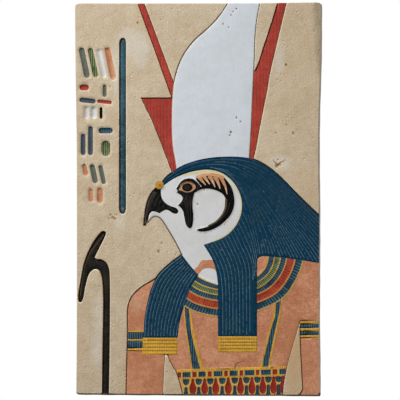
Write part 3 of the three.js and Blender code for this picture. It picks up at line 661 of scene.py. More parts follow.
# The lighter blue along the strands, partly paint left by the brush and partly painted highlight, fades
# upward, and there is more of it over the brow.
strandLight = {"goneAt": 280, "over": 145, "least": 0.42,
               "brow": (146, 235), "browReach": (32, 8), "more": 0.5}


def withLines(points, top, onBody):  # collar, strap and belt lines, and the marks of the eye
    near = np.flatnonzero(onBody)
    ridge = np.clip(1 - (nearest(points[near], ridgeTree) / plaque["lineHalfWidth"]) ** 2, 0, 1)
    top[near] += plaque["lineRise"] * ridge
    top += plaque["lineRise"] * raised(points, beltSheet, 0.5) * onBody
    for cell, _ in cells:
        top -= plaque["lineRise"] * raised(points, cell, 0.6)
    dark = np.maximum(*[raised(points, part, 0.55) for part in eyeDark])
    across, up = (points - eyeball["middle"]).T
    ball = np.clip(1 - (across / eyeball["across"]) ** 2 - (up / eyeball["up"]) ** 2, 0, 1) ** 0.5
    return top + (plaque["eyeRise"] * (dark - raised(points, almond, 0.7)) + 1.1 * plaque["eyeRise"] * ball)


def relief(points):  # height over the ground, nearness to the seam round a form and nearness to a strand
    floor = -plaque["sink"]
    top = np.full(len(points), floor)
    out = np.full(len(points), 3.0)
    seam = np.zeros(len(points))
    carved = np.zeros(len(points), bool)
    for name, ring, _, lift, start, shoulder in forms:
        reach, swell = (14, 0.3) if name in ("crown", "body", "head") else (3.2, 0.1)
        d = distanceTo(points, ring, reach)
        within = inside(points, ring) & (d > 0.03)
        if name == "crown":  # turned more steeply on its right
            shoulder = shoulder * (1 - 0.6 * np.clip((points[:, 0] - 150) / 12, 0, 1))
        x = np.clip(d / shoulder, 0, 1)
        z = floor + lift * (start + (1 - start) * (1 - (1 - x) ** 2.2)) + swell * (1 - np.exp(-d / 5))
        wins = within if name == "head" else within & (z > top)
        seam = np.where(wins, d, seam)
        top = np.where(wins, z, top)
        carved |= within
        out = np.minimum(out, np.where(within, 0, d))
        if name == "body":
            bodyTop, onBody, bodySeam = z, within, seam
        if name == "head":  # the collar lies on the body, in front of the throat
            inCollar = inside(points, collarRing) & onBody
            seam = np.where(inCollar, bodySeam, seam)
            top = withLines(points, np.where(inCollar, bodyTop, top), onBody)
    fromCere = squaredFrom(points, cere["middle"])
    disc = np.clip(1 - fromCere / cere["radius"] ** 2, 0, 1) ** 0.5
    top = np.where(disc > 0, np.maximum(top, floor + rise["beak"] + cere["rise"] * disc), top)
    carved |= disc > 0
    strand = np.zeros(len(points))
    near = np.flatnonzero(inside(points, wigOutline) | inside(points, lappetOutline))
    strand[near] = np.clip(1 - nearest(points[near], strandTree) / plaque["strandHalfWidth"], 0, 1)
    top -= plaque["strandDepth"] * strand
    for left, right, v in bandGrooves:
        across = (points[:, 0] > left) & (points[:, 0] < right)
        groove = np.clip(1 - np.abs(points[:, 1] - v) / plaque["grooveHalfWidth"], 0, 1)
        top -= np.where(across, plaque["grooveDepth"] * groove, 0)
    x = out / plaque["wallRun"]  # the wall of the hollow, and the slight dip along its upper edge
    wall = np.where(x < 1, floor * np.clip(1 - x, 0, 1) ** 0.85, -0.07 * np.clip(1.7 - x, 0, 0.7) / 0.7)
    h = np.where(carved, top, wall)
    for ring, _ in strokeRings:
        h = np.where(inside(points, ring), -plaque["strokeSink"] * raised(points, ring, 0.9, 1.5) ** 0.7, h)
    for at, size, _ in marks:
        h -= plaque["chipDepth"] * softSpot(points, at, size * 0.45)
    h += 0.1 * waves(points, 60, 3) + 0.035 * waves(points, 14, 4)
    along = (wornLine[1] - wornLine[0]) / np.hypot(*(wornLine[1] - wornLine[0]))
    across, up = (points - wornLine[0]).T
    worn = across * -along[1] + up * along[0] + 0.35 * waves(points, 14, 5)
    h = np.where(worn > 0, np.minimum(h, -0.45 * worn), h)
    radius = plaque["edgeRound"] * (1 + 0.3 * waves(points, 22, 6) * np.clip(waves(points, 60, 8), 0, 1))
    x = np.clip(distanceTo(points, frontRing, 4) / radius, 0, 1)
    foot = np.clip(1 - out / plaque["footWidth"], 0, 1)
    seam = np.where(carved, np.clip(1 - seam / plaque["seamWidth"], 0, 1), foot)
    seam *= fromCere > cere["seamRadius"] ** 2
    fade = np.clip((strandLight["goneAt"] - points[:, 1]) / strandLight["over"], strandLight["least"], 1)
    strand *= fade + strandLight["more"] * softSpot(points, strandLight["brow"], strandLight["browReach"])
    return np.minimum(h, -radius * (1 - np.sqrt(1 - (1 - x) ** 2))), seam, strand


# Rows of points beside the outlines: how far inside each outline, and the least gap to other points
formRows = [(0.12, 0.11), (-0.3, 0.25), (-0.62, 0.25), (0.5, 0.28), (0.95, 0.28), (1.45, 0.28), (-1.3, 0.28)]


def drawing():  # the points and lines that the front is triangulated on
    points, lines = [], []
    count = 0

    def add(line, closed, keep):
        nonlocal count
        n = len(line)
        edges = [(i, (i + 1) % n) for i in range(n if closed else n - 1) if keep[i] or keep[(i + 1) % n]]
        used = sorted({i for edge in edges for i in edge})
        number = {i: count + k for k, i in enumerate(used)}
        points.append(line[used])
        lines.extend((number[i], number[j]) for i, j in edges)
        count += len(used)

    add(frontRing, True, np.ones(len(frontRing), bool))
    worn = smoothLine(wornLine, 2.5)
    add(worn, False, np.ones(len(worn), bool))
    for k, (ring, _, _) in enumerate(visible):
        keep = inside(ring, frontRing)
        for other, _, covers in visible[k + 1:]:
            if covers and keep.any():
                keep &= ~(inside(ring, other) & (distanceTo(ring, other, 1.5) > 0.6))
        if keep.any():
            add(ring, True, keep)
    for line in strands:
        add(line, False, inside(line, frontRing))
    fixed = np.concatenate(points)

    def spaced(candidates, gap):  # add those that keep this gap from the points so far
        nonlocal fixed
        candidates = candidates[inside(candidates, frontRing)]
        squares = np.floor(candidates / (gap * 0.8)).astype(int)
        candidates = candidates[np.sort(np.unique(squares, axis=0, return_index=True)[1])]
        free = candidates[nearest(candidates, treeOf(fixed)) > gap]
        fixed = np.concatenate([fixed, free])

    for share in (0.2, 0.5, 1, 1.5):
        spaced(offsetRing(frontRing, share * plaque["edgeRound"]), 0.1)
    rings = [ring for _, ring, *_ in forms]
    for d, gap in formRows:
        spaced(np.concatenate([offsetRing(ring, d) for ring in rings]), gap)
    spaced(np.concatenate([offsetRing(crownOutline, d) for d in (2, 2.7, 4)]), 0.6)
    for half in (-plaque["strandHalfWidth"], plaque["strandHalfWidth"]):
        spaced(np.concatenate([line + leftOf(np.gradient(line, axis=0)) * half for line in strands]), 0.3)
    grooves = [[(u, v + d) for u in np.arange(left + 1, right - 1, 1.7)]
               for left, right, v in bandGrooves for d in (0, -0.75, 0.75)]
    spaced(np.concatenate(grooves), 0.4)
    spaced(np.concatenate([line + (0, d) for line in ridges for d in (0, 0.8, -0.8)]), 0.45)
    small = eyeDark + [ring for ring, _ in cells + strokeRings]
    spaced(np.concatenate([offsetRing(ring, 0.6) for ring in small]), 0.4)
    for gap, onForms in ((plaque["formStep"], True), (plaque["groundStep"], False)):
        x, y = np.meshgrid(np.arange(0, plaque["width"], gap), np.arange(0, plaque["height"], gap * 0.866))
        x[1::2] += gap / 2
        grid = np.column_stack([x.ravel(), y.ravel()]) + rng.uniform(-0.16, 0.16, (x.size, 2)) * gap
        on = np.any([inside(grid, ring) for ring in rings], axis=0)
        spaced(grid[on == onForms], gap * 0.62)
    return fixed, lines


def frontFaces():
    points, lines = drawing()
    print("points on the front:", len(points))
    result = delaunay_2d_cdt([Vector(p) for p in points.tolist()], lines, [], 0, 0.01, False)
    spots = np.array([tuple(p) for p in result[0]])
    faces = np.array([tuple(f) for f in result[2]])
    centres = spots[faces].mean(1)
    corners = spots[faces]
    turn = np.cross(corners[:, 1] - corners[:, 0], corners[:, 2] - corners[:, 0])
    keep = inside(centres, frontRing) & (np.abs(turn) > 1e-4)
    faces, turn = faces[keep], turn[keep]
    faces[turn < 0] = faces[turn < 0][:, ::-1]
    used, faces = np.unique(faces, return_inverse=True)
    return spots[used], faces.reshape(-1, 3)


spots, faces = frontFaces()
heights, seamAt, strandAt = relief(spots)
print("front:", len(spots), "points,", len(faces), "triangles")

# Paint of each triangle
paintNumber = {name: k for k, name in enumerate(paints)}
centres = spots[faces].mean(1)
inForm, nearWall, nearHead = np.zeros((3, len(centres)), bool)
for name, ring, *_ in forms:
    inForm |= inside(centres, ring)
    close = distanceTo(centres, ring, 3) < 1.0
    nearWall |= close
    nearHead |= close & (name in ("head", "beak"))
inForm |= squaredFrom(centres, cere["middle"]) < cere["paintRadius"] ** 2
corners = np.column_stack([spots, heights])[faces]
facing = np.cross(corners[:, 1] - corners[:, 0], corners[:, 2] - corners[:, 0])
shaded = facing[:, 1] * 0.82 < facing[:, 0] * 0.57  # turned away from the lamp at the upper left: these walls are painted a darker brown as shade
# walls turned toward the lamp keep the pale cut colour, and those turned away take a darker copy of it as
# painted shade
wallPaint = np.where(shaded, paintNumber["wallShade"], paintNumber["cutWall"])
# walls round the head and beak are painted dark brown as shade, whichever way they turn
wallPaint[nearHead] = paintNumber["throatWallShade"]
paintOf = np.where(inForm | ~nearWall, paintNumber["bareCast"], wallPaint)
formAreas = len(visible) - len(strokeRings) - len(markRings)  # only strokes and chips lie beside the forms
for k, (ring, paint, _) in enumerate(visible):
    here = inside(centres, ring)
    if k < formAreas:
        here &= inForm
    paintOf[here] = paintNumber[paint]
# the lowest strip of the front is painted dark as shade along the underside
lowest = (centres[:, 1] < 4) & (distanceTo(centres, frontRing, 1.5) < plaque["edgeRound"] * 1.55)
paintOf[lowest] = paintNumber["lowerEdgeShade"]
print("paints laid out")


def boundaryLoop(faces):
    edges = np.concatenate([faces[:, [0, 1]], faces[:, [1, 2]], faces[:, [2, 0]]])
    key = np.sort(edges, 1)
    _, first, counts = np.unique(key, axis=0, return_index=True, return_counts=True)
    onward = {int(a): int(b) for a, b in edges[first[counts == 1]]}
    start = next(iter(onward))
    loop, at = [start], onward[start]
    while at != start:
        loop.append(at)
        at = onward[at]
    return loop, len(onward)


loop, edgeCount = boundaryLoop(faces)
print("edge of the front:", len(loop), "of", edgeCount)


# The rows of points down the sides: height over the back, and how far the rounding of the back has turned in
sideRows = [(14.2, 0), (10.6, 0), (7, 0), (3.6, 0), (1.8, 0), (0.9, 0.1), (0.27, 0.42), (0, 1)]


def place(points, depth):  # from the drawing to the upright slab, whose back is at 0
    across, up = (points - middle).T
    return np.column_stack([across, np.broadcast_to(-depth, len(points)), up])


def slotRing(rising):  # a slot with round ends and a raised top
    w, r = slot["width"] / 2, slot["mouth"] / 2
    low = plaque["height"] - slot["belowTop"] - r
    high = low + slot["mouth"] + rising
    corners = ((w - r, low + r, -90), (w - r, high - r, 0), (r - w, high - r, 90), (r - w, low + r, 180))
    ring = []
    for cx, cy, start in corners:
        for i in range(7):
            a = math.radians(start + i * 15)
            ring.append((middle[0] + cx + r * math.cos(a), cy + r * math.sin(a)))
    return np.array(ring)


def castBody():  # the whole closed mesh in metres: front, sides, back and hanging slot
    thick, draft = plaque["thickness"], plaque["draft"]
    parts, tris, paint = [place(spots, thick + heights)], [faces], [paintOf]
    bare = paintNumber["sidePlaster"]
    count = len(spots)

    def nextRow(row, ring, depth, colours):  # a new row of points, joined to the one before
        nonlocal count
        parts.append(place(ring, float(depth)))
        new = np.arange(count, count + len(ring))
        count += len(ring)
        a, b, c, d = row, np.roll(row, -1), new, np.roll(new, -1)
        tris.extend([np.column_stack([a, c, b]), np.column_stack([b, c, d])])
        paint.extend([colours, colours])
        return new

    edge = spots[loop]
    # the bottom side is painted dark as shade under the slab
    sideColours = np.where(edge[:, 1] < 2.5, paintNumber["lowerEdgeShade"], bare)
    row = np.array(loop)
    for depth, turnIn in sideRows:
        inset = draft * depth / thick + turnIn * plaque["backRound"]
        ring = drawnIn(middle + (edge - middle) / (1 - draft / middle), inset)
        if 0 < depth < 14:
            uneven = 0.12 * waves(np.column_stack([ring.sum(1), np.full(len(ring), depth)]), 24, 9)
            ring = ring + (ring - middle) / middle * uneven[:, None]
        row = nextRow(row, ring, depth, sideColours)
    mouth, chamber = slotRing(0), slotRing(slot["catch"])
    grid = np.stack(np.meshgrid(np.arange(8, 246, 11.0), np.arange(8, 396, 11.0)), -1).reshape(-1, 2)
    grid = grid + rng.uniform(-2, 2, grid.shape)
    grid = grid[inside(grid, ring) & ~inside(grid, chamber + (chamber - chamber.mean(0)) * 0.1)]
    flat = np.concatenate([ring, mouth, grid])
    n, m = len(ring), len(mouth)
    lines = [(i, (i + 1) % n) for i in range(n)] + [(n + i, n + (i + 1) % m) for i in range(m)]
    result = delaunay_2d_cdt([Vector(p) for p in flat.tolist()], lines, [], 0, 1e-5, True)
    found = np.array([tuple(p) for p in result[0]])
    ids = [origin[0] if origin else -1 for origin in result[3]]
    number = np.array([row[i] if 0 <= i < n else count + i - n for i in ids])
    parts.append(place(flat[n:], 0.0))
    back = np.array([tuple(f) for f in result[2]])
    centre = found[back].mean(1)
    back = back[inside(centre, ring) & ~inside(centre, mouth)]
    tris.append(number[back])
    paint.append(np.full(len(back), bare))
    row = np.arange(count, count + m)
    count += len(flat) - n
    for ring, depth in ((mouth, slot["lip"]), (chamber, slot["lip"]), (chamber, slot["depth"])):
        row = nextRow(row, ring, depth, np.full(m, bare))
    tris.append(np.array([(row[0], row[i], row[i + 1]) for i in range(1, m - 1)]))
    paint.append(np.full(m - 2, bare))
    return np.concatenate(parts) / 1000, np.concatenate(tris), np.concatenate(paint)


places, triangles, paintIds = castBody()
mesh = bpy.data.meshes.new("carvedPlaque")
mesh.from_pydata(places.tolist(), [], triangles.tolist())
used = [k for k in range(len(paints)) if (paintIds == k).any()]
mesh.polygons.foreach_set("material_index", np.searchsorted(used, paintIds).astype(np.int32))


def pointValues(name, values):
    layer = mesh.attributes.new(name, "FLOAT", "POINT")
    full = np.zeros(len(mesh.vertices), np.float32)
    full[:len(values)] = values
    layer.data.foreach_set("value", full)


# Hollows are darkened, partly as grime and partly as painted shade, and ridges are rubbed: both come from how
# each point stands to its neighbours.
ends = np.empty(len(mesh.edges) * 2, np.int32)
mesh.edges.foreach_get("vertices", ends)
ends = ends.reshape(-1, 2)
depth = -places[:, 1] * 1000
run = np.linalg.norm((places[ends[:, 0]] - places[ends[:, 1]])[:, [0, 2]], axis=1) * 1000 + 0.2
step = (depth[ends[:, 1]] - depth[ends[:, 0]]) / run
bend, near = np.zeros((2, len(places)))
np.add.at(bend, ends[:, 0], step)
np.add.at(bend, ends[:, 1], -step)
np.add.at(near, ends.ravel(), 1)
bend = (bend / np.maximum(near, 1))[:len(spots)]
pointValues("hollow", np.maximum(np.clip(bend * 1.3, 0, 1), seamAt))
pointValues("ridge", np.clip(-bend * 1.6, 0, 1))
pointValues("strand", strandAt)
fromMiddle = spots - collar["middle"]
arc = np.arctan2(fromMiddle[:, 0], -fromMiddle[:, 1]) * collar["beadRadius"]
pointValues("arc", np.where(inside(spots, collarRing), arc, spots[:, 0]))

# Where the surface has gone pale and where it has yellowed: middle, reach across, reach up and how much
weather = {
    "pale": [((62, 93), 8, 14, 1), ((209, 237), 11, 8, 1), ((207, 344), 7, 14, 1), ((24, 78), 9, 26, 1),
             ((54, 362), 12, 14, 1), ((66, 352), 9, 18, 1), ((24, 46), 8, 22, 1), ((45, 176), 6, 8, 1),
             ((41, 330), 5, 24, 1)],
    "warm": [((222, 28), 10, 44, 1.0), ((96, 18), 9, 26, 0.3), ((240, 330), 42, 110, 0.2),
             ((236, 215), 24, 34, 0.25), ((16, 70), 22, 60, 0.15), ((70, 130), 20, 30, 0.15),
             ((30, 20), 40, 20, 0.15)],
}
for name, patches in weather.items():
    amount = np.zeros(len(spots))
    for at, across, up, most in patches:
        amount = np.maximum(amount, most * softSpot(spots, at, (across, up)))
    pointValues(name, amount)
mesh.update()
piece = bpy.data.objects.new("carvedPlaque", mesh)
bpy.context.scene.collection.objects.link(piece)
mesh.shade_smooth()
mesh.set_sharp_from_angle(angle=math.radians(62))
print("whole mesh:", len(triangles), "triangles")


def linear(colour):  # from 0 to 255 as shown, to linear light
    return [*(((c / 255 + 0.055) / 1.055) ** 2.4 if c > 10 else c / 255 / 12.92 for c in colour), 1.0]


class Nodes:  # short ways to add nodes to one tree
    def __init__(self, tree):
        self.tree = tree

    def feed(self, value, socket):
        if isinstance(value, bpy.types.NodeSocket):
            self.tree.links.new(value, socket)
        else:
            socket.default_value = value

    def make(self, kind, values=None, out=0, **settings):
        node = self.tree.nodes.new("ShaderNode" + kind)
        for key, value in settings.items():
            setattr(node, key, value)
        for key, value in (values or {}).items():
            self.feed(value, node.inputs[key])
        return node.outputs[out]

    def calc(self, operation, a, b, clamp=False):
        return self.make("Math", {0: a, 1: b}, operation=operation, use_clamp=clamp)

    def plus(self, a, b, clamp=False):
        return self.calc("ADD", a, b, clamp)

    def minus(self, a, b):
        return self.calc("SUBTRACT", a, b)

    def times(self, a, b, clamp=False):
        return self.calc("MULTIPLY", a, b, clamp)

    def blend(self, amount, a, b):
        return self.make("Mix", {0: amount, 6: a, 7: b}, out=2, data_type="RGBA")

    def ramp(self, value, low, high):
        ends = {0: value, 1: low, 2: high, 3: 0.0, 4: 1.0}
        return self.make("MapRange", ends, interpolation_type="SMOOTHSTEP")

    def spot(self):  # the place on the piece itself
        return self.make("TexCoord", out=3)

    def noise(self, spot, scale, detail, roughness=0.5, distortion=0.0):
        values = {"Vector": spot, "Scale": scale, "Detail": detail, "Roughness": roughness}
        return self.make("TexNoise", {**values, "Distortion": distortion})

    def pointValue(self, name):  # one that the mesh carries at its points
        return self.make("Attribute", attribute_name=name, out=2)


def newGroup(name, inputs, output):
    group = bpy.data.node_groups.new(name, "ShaderNodeTree")
    for label, value in inputs.items():
        kind = "NodeSocketColor" if isinstance(value, tuple) else "NodeSocketFloat"
        socket = group.interface.new_socket(label, in_out="INPUT", socket_type=kind)
        socket.default_value = value
    for label, kind in output.items():
        group.interface.new_socket(label, in_out="OUTPUT", socket_type="NodeSocket" + kind)
    given, put = group.nodes.new("NodeGroupInput").outputs, group.nodes.new("NodeGroupOutput").inputs
    return group, Nodes(group), given, put


def castGrain():  # the fine grain and stray pits of the cast
    group, n, given, put = newGroup("castGrain", {
        "Grain Scale": 420.0, "Grain Depth": 0.5, "Pit Scale": 150.0, "Pit Depth": 0.6,
    }, {"Height": "Float"})
    spot = n.spot()
    fine = n.noise(spot, given["Grain Scale"], 5.0, 0.65)
    broad = n.noise(spot, 90.0, 3.0)
    cells = n.make("TexVoronoi", {"Vector": spot, "Scale": given["Pit Scale"], "Randomness": 1.0})
    rare = n.ramp(n.noise(spot, 60.0, 2.0), 0.5, 0.62)
    pits = n.times(n.minus(1.0, n.ramp(cells, 0.1, 0.3)), rare)
    height = n.plus(n.times(fine, given["Grain Depth"]), n.times(broad, 0.8))
    n.feed(n.minus(height, n.times(pits, given["Pit Depth"])), put["Height"])
    return group


def paintCoat():  # a hand-brushed coat: mottled, streaked, rubbed thin on ridges, and darkened in hollows, partly as grime and partly as painted shade
    grey, dark = (0.5, 0.5, 0.5, 1), (0.1, 0.07, 0.04, 1)
    group, n, given, put = newGroup("paintCoat", {
        "Paint": grey, "Second Tone": grey, "Under Coat": grey, "Dirt": dark, "Speck": dark,
        "Mottle": 0.5, "Streaks": 0.3, "Wear": 0.4, "Dirt Amount": 0.5, "Specks": 0.3, "Grit": 0.2,
        "Roughness": 0.75,
    }, {"Color": "Color", "Roughness": "Float"})
    spot = n.spot()
    clouds = n.noise(spot, 38.0, 6.0, 0.62)
    small = n.noise(spot, 190.0, 4.0, 0.6)
    mixed = n.plus(n.times(clouds, 0.6), n.times(small, 0.4))
    colour = n.blend(n.times(n.ramp(mixed, 0.4, 0.62), given["Mottle"]), given["Paint"], given["Second Tone"])
    drawn = n.make("Mapping", {"Vector": spot, "Scale": (620.0, 620.0, 36.0)})
    pull = n.times(n.minus(n.noise(drawn, 1.0, 3.0, 0.6), 0.5), given["Streaks"])
    grit = n.times(n.minus(n.noise(spot, 780.0, 3.0, 0.7), 0.5), given["Grit"])
    colour = n.make("HueSaturation", {"Value": n.plus(1.0, n.plus(pull, grit)), "Color": colour})
    specks = n.ramp(n.noise(spot, 520.0, 3.0, 0.7), 0.62, 0.72)
    colour = n.blend(n.times(specks, given["Specks"]), colour, given["Speck"])
    ridge = n.times(n.pointValue("ridge"), n.plus(small, 0.35))
    colour = n.blend(n.times(n.ramp(ridge, 0.12, 0.6), given["Wear"], True), colour, given["Under Coat"])
    # hollows take the dark colour: grime and painted shade in one
    hollow = n.times(n.pointValue("hollow"), n.plus(clouds, 0.6))
    colour = n.blend(n.times(n.ramp(hollow, 0.05, 0.8), given["Dirt Amount"], True), colour, given["Dirt"])
    n.feed(colour, put["Color"])
    n.feed(n.plus(given["Roughness"], n.times(n.minus(small, 0.5), 0.25), True), put["Roughness"])
    return group


def strandStreaks():  # lighter blue along the strands: partly paint caught by the brush, partly painted highlight
    group, n, given, put = newGroup("strandStreaks", {
        "Color": (0, 0, 0, 1), "Light": (0.1, 0.2, 0.25, 1), "Amount": 0.5,
    }, {"Color": "Color"})
    broken = n.ramp(n.noise(n.spot(), 330.0, 4.0, 0.65), 0.34, 0.54)
    amount = n.times(n.times(n.ramp(n.pointValue("strand"), 0.1, 0.9), broken), given["Amount"], True)
    n.feed(n.blend(amount, given["Color"], given["Light"]), put["Color"])
    return group


def beadTicks():  # small ticks across a stripe, at an even pitch in millimetres
    group, n, given, put = newGroup("beadTicks", {
        "Color": (0, 0, 0, 1), "Tick": (0.3, 0.3, 0.3, 1), "Pitch": 2.0, "Amount": 0.4,
    }, {"Color": "Color"})
    stray = n.noise(n.spot(), 160.0, 3.0)
    along = n.plus(n.pointValue("arc"), n.times(stray, 1.1))
    wave = n.calc("PINGPONG", n.calc("DIVIDE", along, given["Pitch"]), 0.5)
    amount = n.times(n.times(n.ramp(wave, 0.24, 0.46), n.ramp(stray, 0.3, 0.56)), given["Amount"], True)
    n.feed(n.blend(amount, given["Color"], given["Tick"]), put["Color"])
    return group


def stainPatches():  # pale bloom where the surface has been damp, and a warmer tone where it has yellowed
    group, n, given, put = newGroup("stainPatches", {
        "Color": (0, 0, 0, 1), "Bloom": (0.5, 0.5, 0.5, 1), "Warm": (0.5, 0.4, 0.3, 1), "Amount": 0.6,
    }, {"Color": "Color"})
    cloud = n.noise(n.spot(), 22.0, 5.0, 0.6, 0.4)
    pale = n.pointValue("pale")
    ragged = n.minus(n.plus(pale, n.times(cloud, 1.6)), 0.8)
    bloom = n.times(n.times(n.ramp(ragged, 0.0, 0.9), n.ramp(pale, 0.02, 0.5)), given["Amount"], True)
    zone = n.times(n.pointValue("warm"), n.plus(cloud, 0.5))
    warm = n.plus(n.times(n.ramp(cloud, 0.5, 0.7), n.times(given["Amount"], 0.4)), zone, True)
    n.feed(n.blend(bloom, n.blend(warm, given["Color"], given["Warm"]), given["Bloom"]), put["Color"])
    return group


groups = {"grain": castGrain(), "coat": paintCoat(), "strands": strandStreaks(), "ticks": beadTicks(),
          "stain": stainPatches()}

# A plain coat, and how each paint differs from it. Ticks have a colour, a pitch and an amount.
# the amount for hollows darkens them, as grime and as painted shade
plain = dict(second=None, mottle=0.5, streaks=0.2, wear=0.2, under=(212, 198, 172), dirtAndShade=0.4, specks=0.15,
             speck=(58, 40, 26), grit=0.5, bump=0.25, shine=0.2, roughness=0.74, strandLight=None, ticks=None,
             bloom=None, warm=(190, 158, 118))
coats = {
    "bareCast": dict(second=(180, 160, 130), mottle=0.55, streaks=0.12, dirtAndShade=0.35, specks=0.2, bump=0.9,
                     grit=1.15, bloom=(206, 202, 190)),
    "cutWall": dict(second=(220, 206, 178), streaks=0.05, specks=0.1, grit=0.3, bloom=(206, 202, 190)),
    "wallShade": dict(second=(168, 130, 94), dirtAndShade=0.12),
    "crownWhite": dict(second=(192, 196, 200), streaks=0.1, dirtAndShade=0.45, specks=0.08, bump=0.15, grit=0.14),
    "faceWhite": dict(second=(194, 192, 184), mottle=0.4, streaks=0.06, dirtAndShade=0.35, specks=0.08, bump=0.15,
                      grit=0.2),
    "brickRed": dict(second=(146, 48, 38), mottle=0.7, streaks=0.35, wear=0.35, dirtAndShade=0.38, grit=1.8,
                     ticks=((112, 30, 24), 3.4, 0.5)),
    "wigBlue": dict(second=(24, 56, 70), wear=0.12, dirtAndShade=0.5, specks=0.4, speck=(96, 116, 118), bump=0.3,
                    grit=1.4, shine=0.06, roughness=0.62, strandLight=(88, 122, 140)),
    "columnBlue": dict(second=(20, 44, 60), mottle=1.0, streaks=0.3, wear=0.5, dirtAndShade=0.8, specks=0.2, grit=2.0,
                       roughness=0.62),
    "flesh": dict(second=(202, 144, 110), mottle=0.9, streaks=0.14, dirtAndShade=0.26, specks=0.12, bump=0.65,
                  grit=1.4, bloom=(202, 163, 132), warm=paints["flesh"]),
    "gold": dict(second=(158, 112, 24), mottle=0.6, wear=0.3, dirtAndShade=0.6, specks=0.1, grit=1.6,
                 ticks=((216, 180, 104), 2.4, 0.45)),
    "amber": dict(second=(186, 108, 34), mottle=0.6, specks=0.1, bump=0.2),
    "collarBlue": dict(second=(18, 40, 58), mottle=0.7, streaks=0.3, specks=0.2, roughness=0.62,
                       ticks=((92, 124, 132), 2.3, 0.7)),
    "teal": dict(second=(26, 50, 60), mottle=0.7, streaks=0.3, specks=0.2, ticks=((78, 104, 98), 2.0, 0.5)),
    "collarGold": dict(second=(164, 124, 48), mottle=0.7, wear=0.3, dirtAndShade=0.6, grit=1.6),
    "collarRed": dict(second=(138, 36, 24), mottle=0.9, streaks=0.5, wear=0.3, grit=1.8,
                      ticks=((178, 100, 56), 2.6, 0.35)),
    "beltRed": dict(second=(120, 30, 18), mottle=0.8, streaks=0.4, wear=0.3, grit=1.8),
    "green": dict(second=(38, 62, 48), mottle=0.7, streaks=0.3, specks=0.25,
                  ticks=((164, 158, 94), 1.9, 0.85)),
    "black": dict(second=(16, 15, 15), mottle=0.6, streaks=2.0, wear=0.08, dirtAndShade=0.1, specks=0.2, bump=0.3,
                  shine=0.05, grit=2.0, speck=(92, 86, 80), roughness=0.62),
    "beakBlack": dict(second=(36, 34, 33), mottle=0.9, streaks=2.4, wear=0.08, dirtAndShade=0.1, specks=0.2, bump=0.3,
                      shine=0.06, grit=2.0, speck=(92, 86, 80), roughness=0.62),
    "staffBlack": dict(second=(46, 40, 33), mottle=0.7, streaks=1.4, wear=0.8, dirtAndShade=0.1, specks=0.5, bump=0.3,
                       shine=0.12, grit=2.4, speck=(84, 78, 70), under=(110, 90, 66)),
}
# the colour that hollows darken to, standing for both grime and painted shade
dirtAndShadeColour = (58, 40, 26)


def paintMaterial(name, colour):
    material = bpy.data.materials.new(name)
    material.use_nodes = True
    tree = material.node_tree
    shader = tree.nodes["Principled BSDF"]
    n = Nodes(tree)
    look = {**plain, **coats.get(name, {})}

    def placed(group, **values):
        node = tree.nodes.new("ShaderNodeGroup")
        node.node_tree = groups[group]
        for key, value in values.items():
            n.feed(value, node.inputs[key.replace("_", " ")])
        return node.outputs

    second = look["second"] or [c * 0.84 for c in colour]
    coat = placed("coat", Paint=linear(colour), Second_Tone=linear(second), Under_Coat=linear(look["under"]),
                  Dirt=linear(dirtAndShadeColour), Speck=linear(look["speck"]),
                  Mottle=look["mottle"], Streaks=look["streaks"], Wear=look["wear"], Dirt_Amount=look["dirtAndShade"],
                  Specks=look["specks"], Grit=look["grit"], Roughness=look["roughness"])
    out = coat["Color"]
    if look["strandLight"]:
        out = placed("strands", Color=out, Light=linear(look["strandLight"]), Amount=0.95)["Color"]
    if look["ticks"]:
        tick, pitch, amount = look["ticks"]
        out = placed("ticks", Color=out, Tick=linear(tick), Pitch=pitch, Amount=amount)["Color"]
    if look["bloom"]:
        bloom, warm = linear(look["bloom"]), linear(look["warm"])
        out = placed("stain", Color=out, Bloom=bloom, Warm=warm, Amount=0.5)["Color"]
    grain = placed("grain", Grain_Scale=460.0, Grain_Depth=0.5, Pit_Scale=210.0, Pit_Depth=0.5)
    bump = n.make("Bump", {"Height": grain["Height"], "Strength": look["bump"], "Distance": 0.0006})
    n.feed(out, shader.inputs["Base Color"])
    n.feed(coat["Roughness"], shader.inputs["Roughness"])
    n.feed(look["shine"], shader.inputs["Specular IOR Level"])
    n.feed(bump, shader.inputs["Normal"])
    return material


for k, (name, colour) in enumerate(paints.items()):
    if k in used:
        mesh.materials.append(paintMaterial(name, colour))
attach(piece, "root")
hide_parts("relief_plaque")

# The studio: a pale floor under the hanging plaque, white surroundings and a key lamp at the upper left
studio = {"keyPower": 7.6, "keySize": 0.3, "keyFrom": (-1.0, -1.1, 1.45), "keySpread": 66, "fillPower": 1.5,
          "rimPower": 6.0, "worldLight": 0.17, "floor": -1.3, "framed": 0.4075}
world = bpy.data.worlds.new("studio")
bpy.context.scene.world = world
world.use_nodes = True
n = Nodes(world.node_tree)
shade = n.make("Background", {"Color": (1, 1, 1, 1), "Strength": studio["worldLight"]})
white = n.make("Background", {"Color": (1, 1, 1, 1), "Strength": 1.0})
both = n.make("MixShader", {0: n.make("LightPath"), 1: shade, 2: white})  # the camera sees white
n.feed(both, world.node_tree.nodes["World Output"].inputs["Surface"])


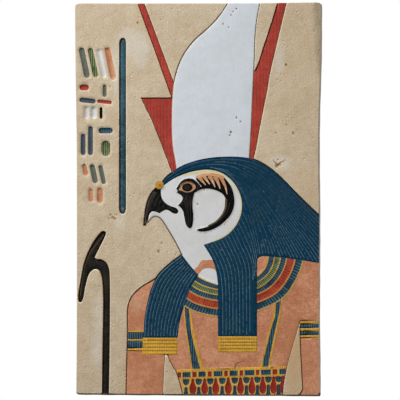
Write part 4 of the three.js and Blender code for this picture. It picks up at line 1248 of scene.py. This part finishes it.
def inScene(name, data):
    thing = bpy.data.objects.new(name, data)
    bpy.context.scene.collection.objects.link(thing)
    return thing


def lamp(name, power, size, at, toward=(0, 0, 0), spread=180):
    light = bpy.data.lights.new(name, "AREA")
    light.energy, light.size, light.spread = power, size, math.radians(spread)
    holder = inScene(name, light)
    holder.location = at
    holder.rotation_euler = (Vector(at) - Vector(toward)).to_track_quat("Z", "Y").to_euler()


lamp("keyLamp", studio["keyPower"], studio["keySize"], studio["keyFrom"], (0.1, 0, -0.2), studio["keySpread"])
lamp("fillLamp", studio["fillPower"], 1.6, (1.3, -1.9, 0.2))
lamp("rimLamp", studio["rimPower"], 0.8, (1.5, 0.4, 0.1))  # from behind, so that only the right side shows it

floorMesh = bpy.data.meshes.new("floor")
floorCorners = [(x, y, studio["floor"]) for x, y in ((-2, -1.7), (2, -1.7), (2, 1.4), (-2, 1.4))]
floorMesh.from_pydata(floorCorners, [], [(0, 1, 2, 3)])
floor = inScene("floor", floorMesh)
floorMaterial = bpy.data.materials.new("floor")
floorMaterial.use_nodes = True
n = Nodes(floorMaterial.node_tree)
speckle = n.make("TexNoise", {"Scale": 14.0, "Detail": 3.0})
shader = floorMaterial.node_tree.nodes["Principled BSDF"]
n.feed(n.blend(speckle, (0.78, 0.78, 0.77, 1), (0.83, 0.83, 0.82, 1)), shader.inputs["Base Color"])
n.feed(0.85, shader.inputs["Roughness"])
floorMesh.materials.append(floorMaterial)

# The camera looks straight at the plaque, a little off its middle, from far away.
camera = bpy.data.cameras.new("camera")
camera.lens, camera.sensor_width = 200, 36
camera.clip_start, camera.clip_end = 0.05, 20
viewer = inScene("camera", camera)
distance = studio["framed"] / 2 / math.tan(camera.angle / 2)
aim = Vector((0.0018, -plaque["thickness"] / 1000, -0.0011))
stand = Vector((0.13, -distance, -0.1))  # a little to the right and low, so that those two sides just show
viewer.location = aim + stand.normalized() * distance
viewer.rotation_euler = stand.to_track_quat("Z", "Y").to_euler()
bpy.context.scene.camera = viewer
bpy.context.scene.view_settings.view_transform = "Standard"

bpy.context.view_layer.update()
print("scene ready")
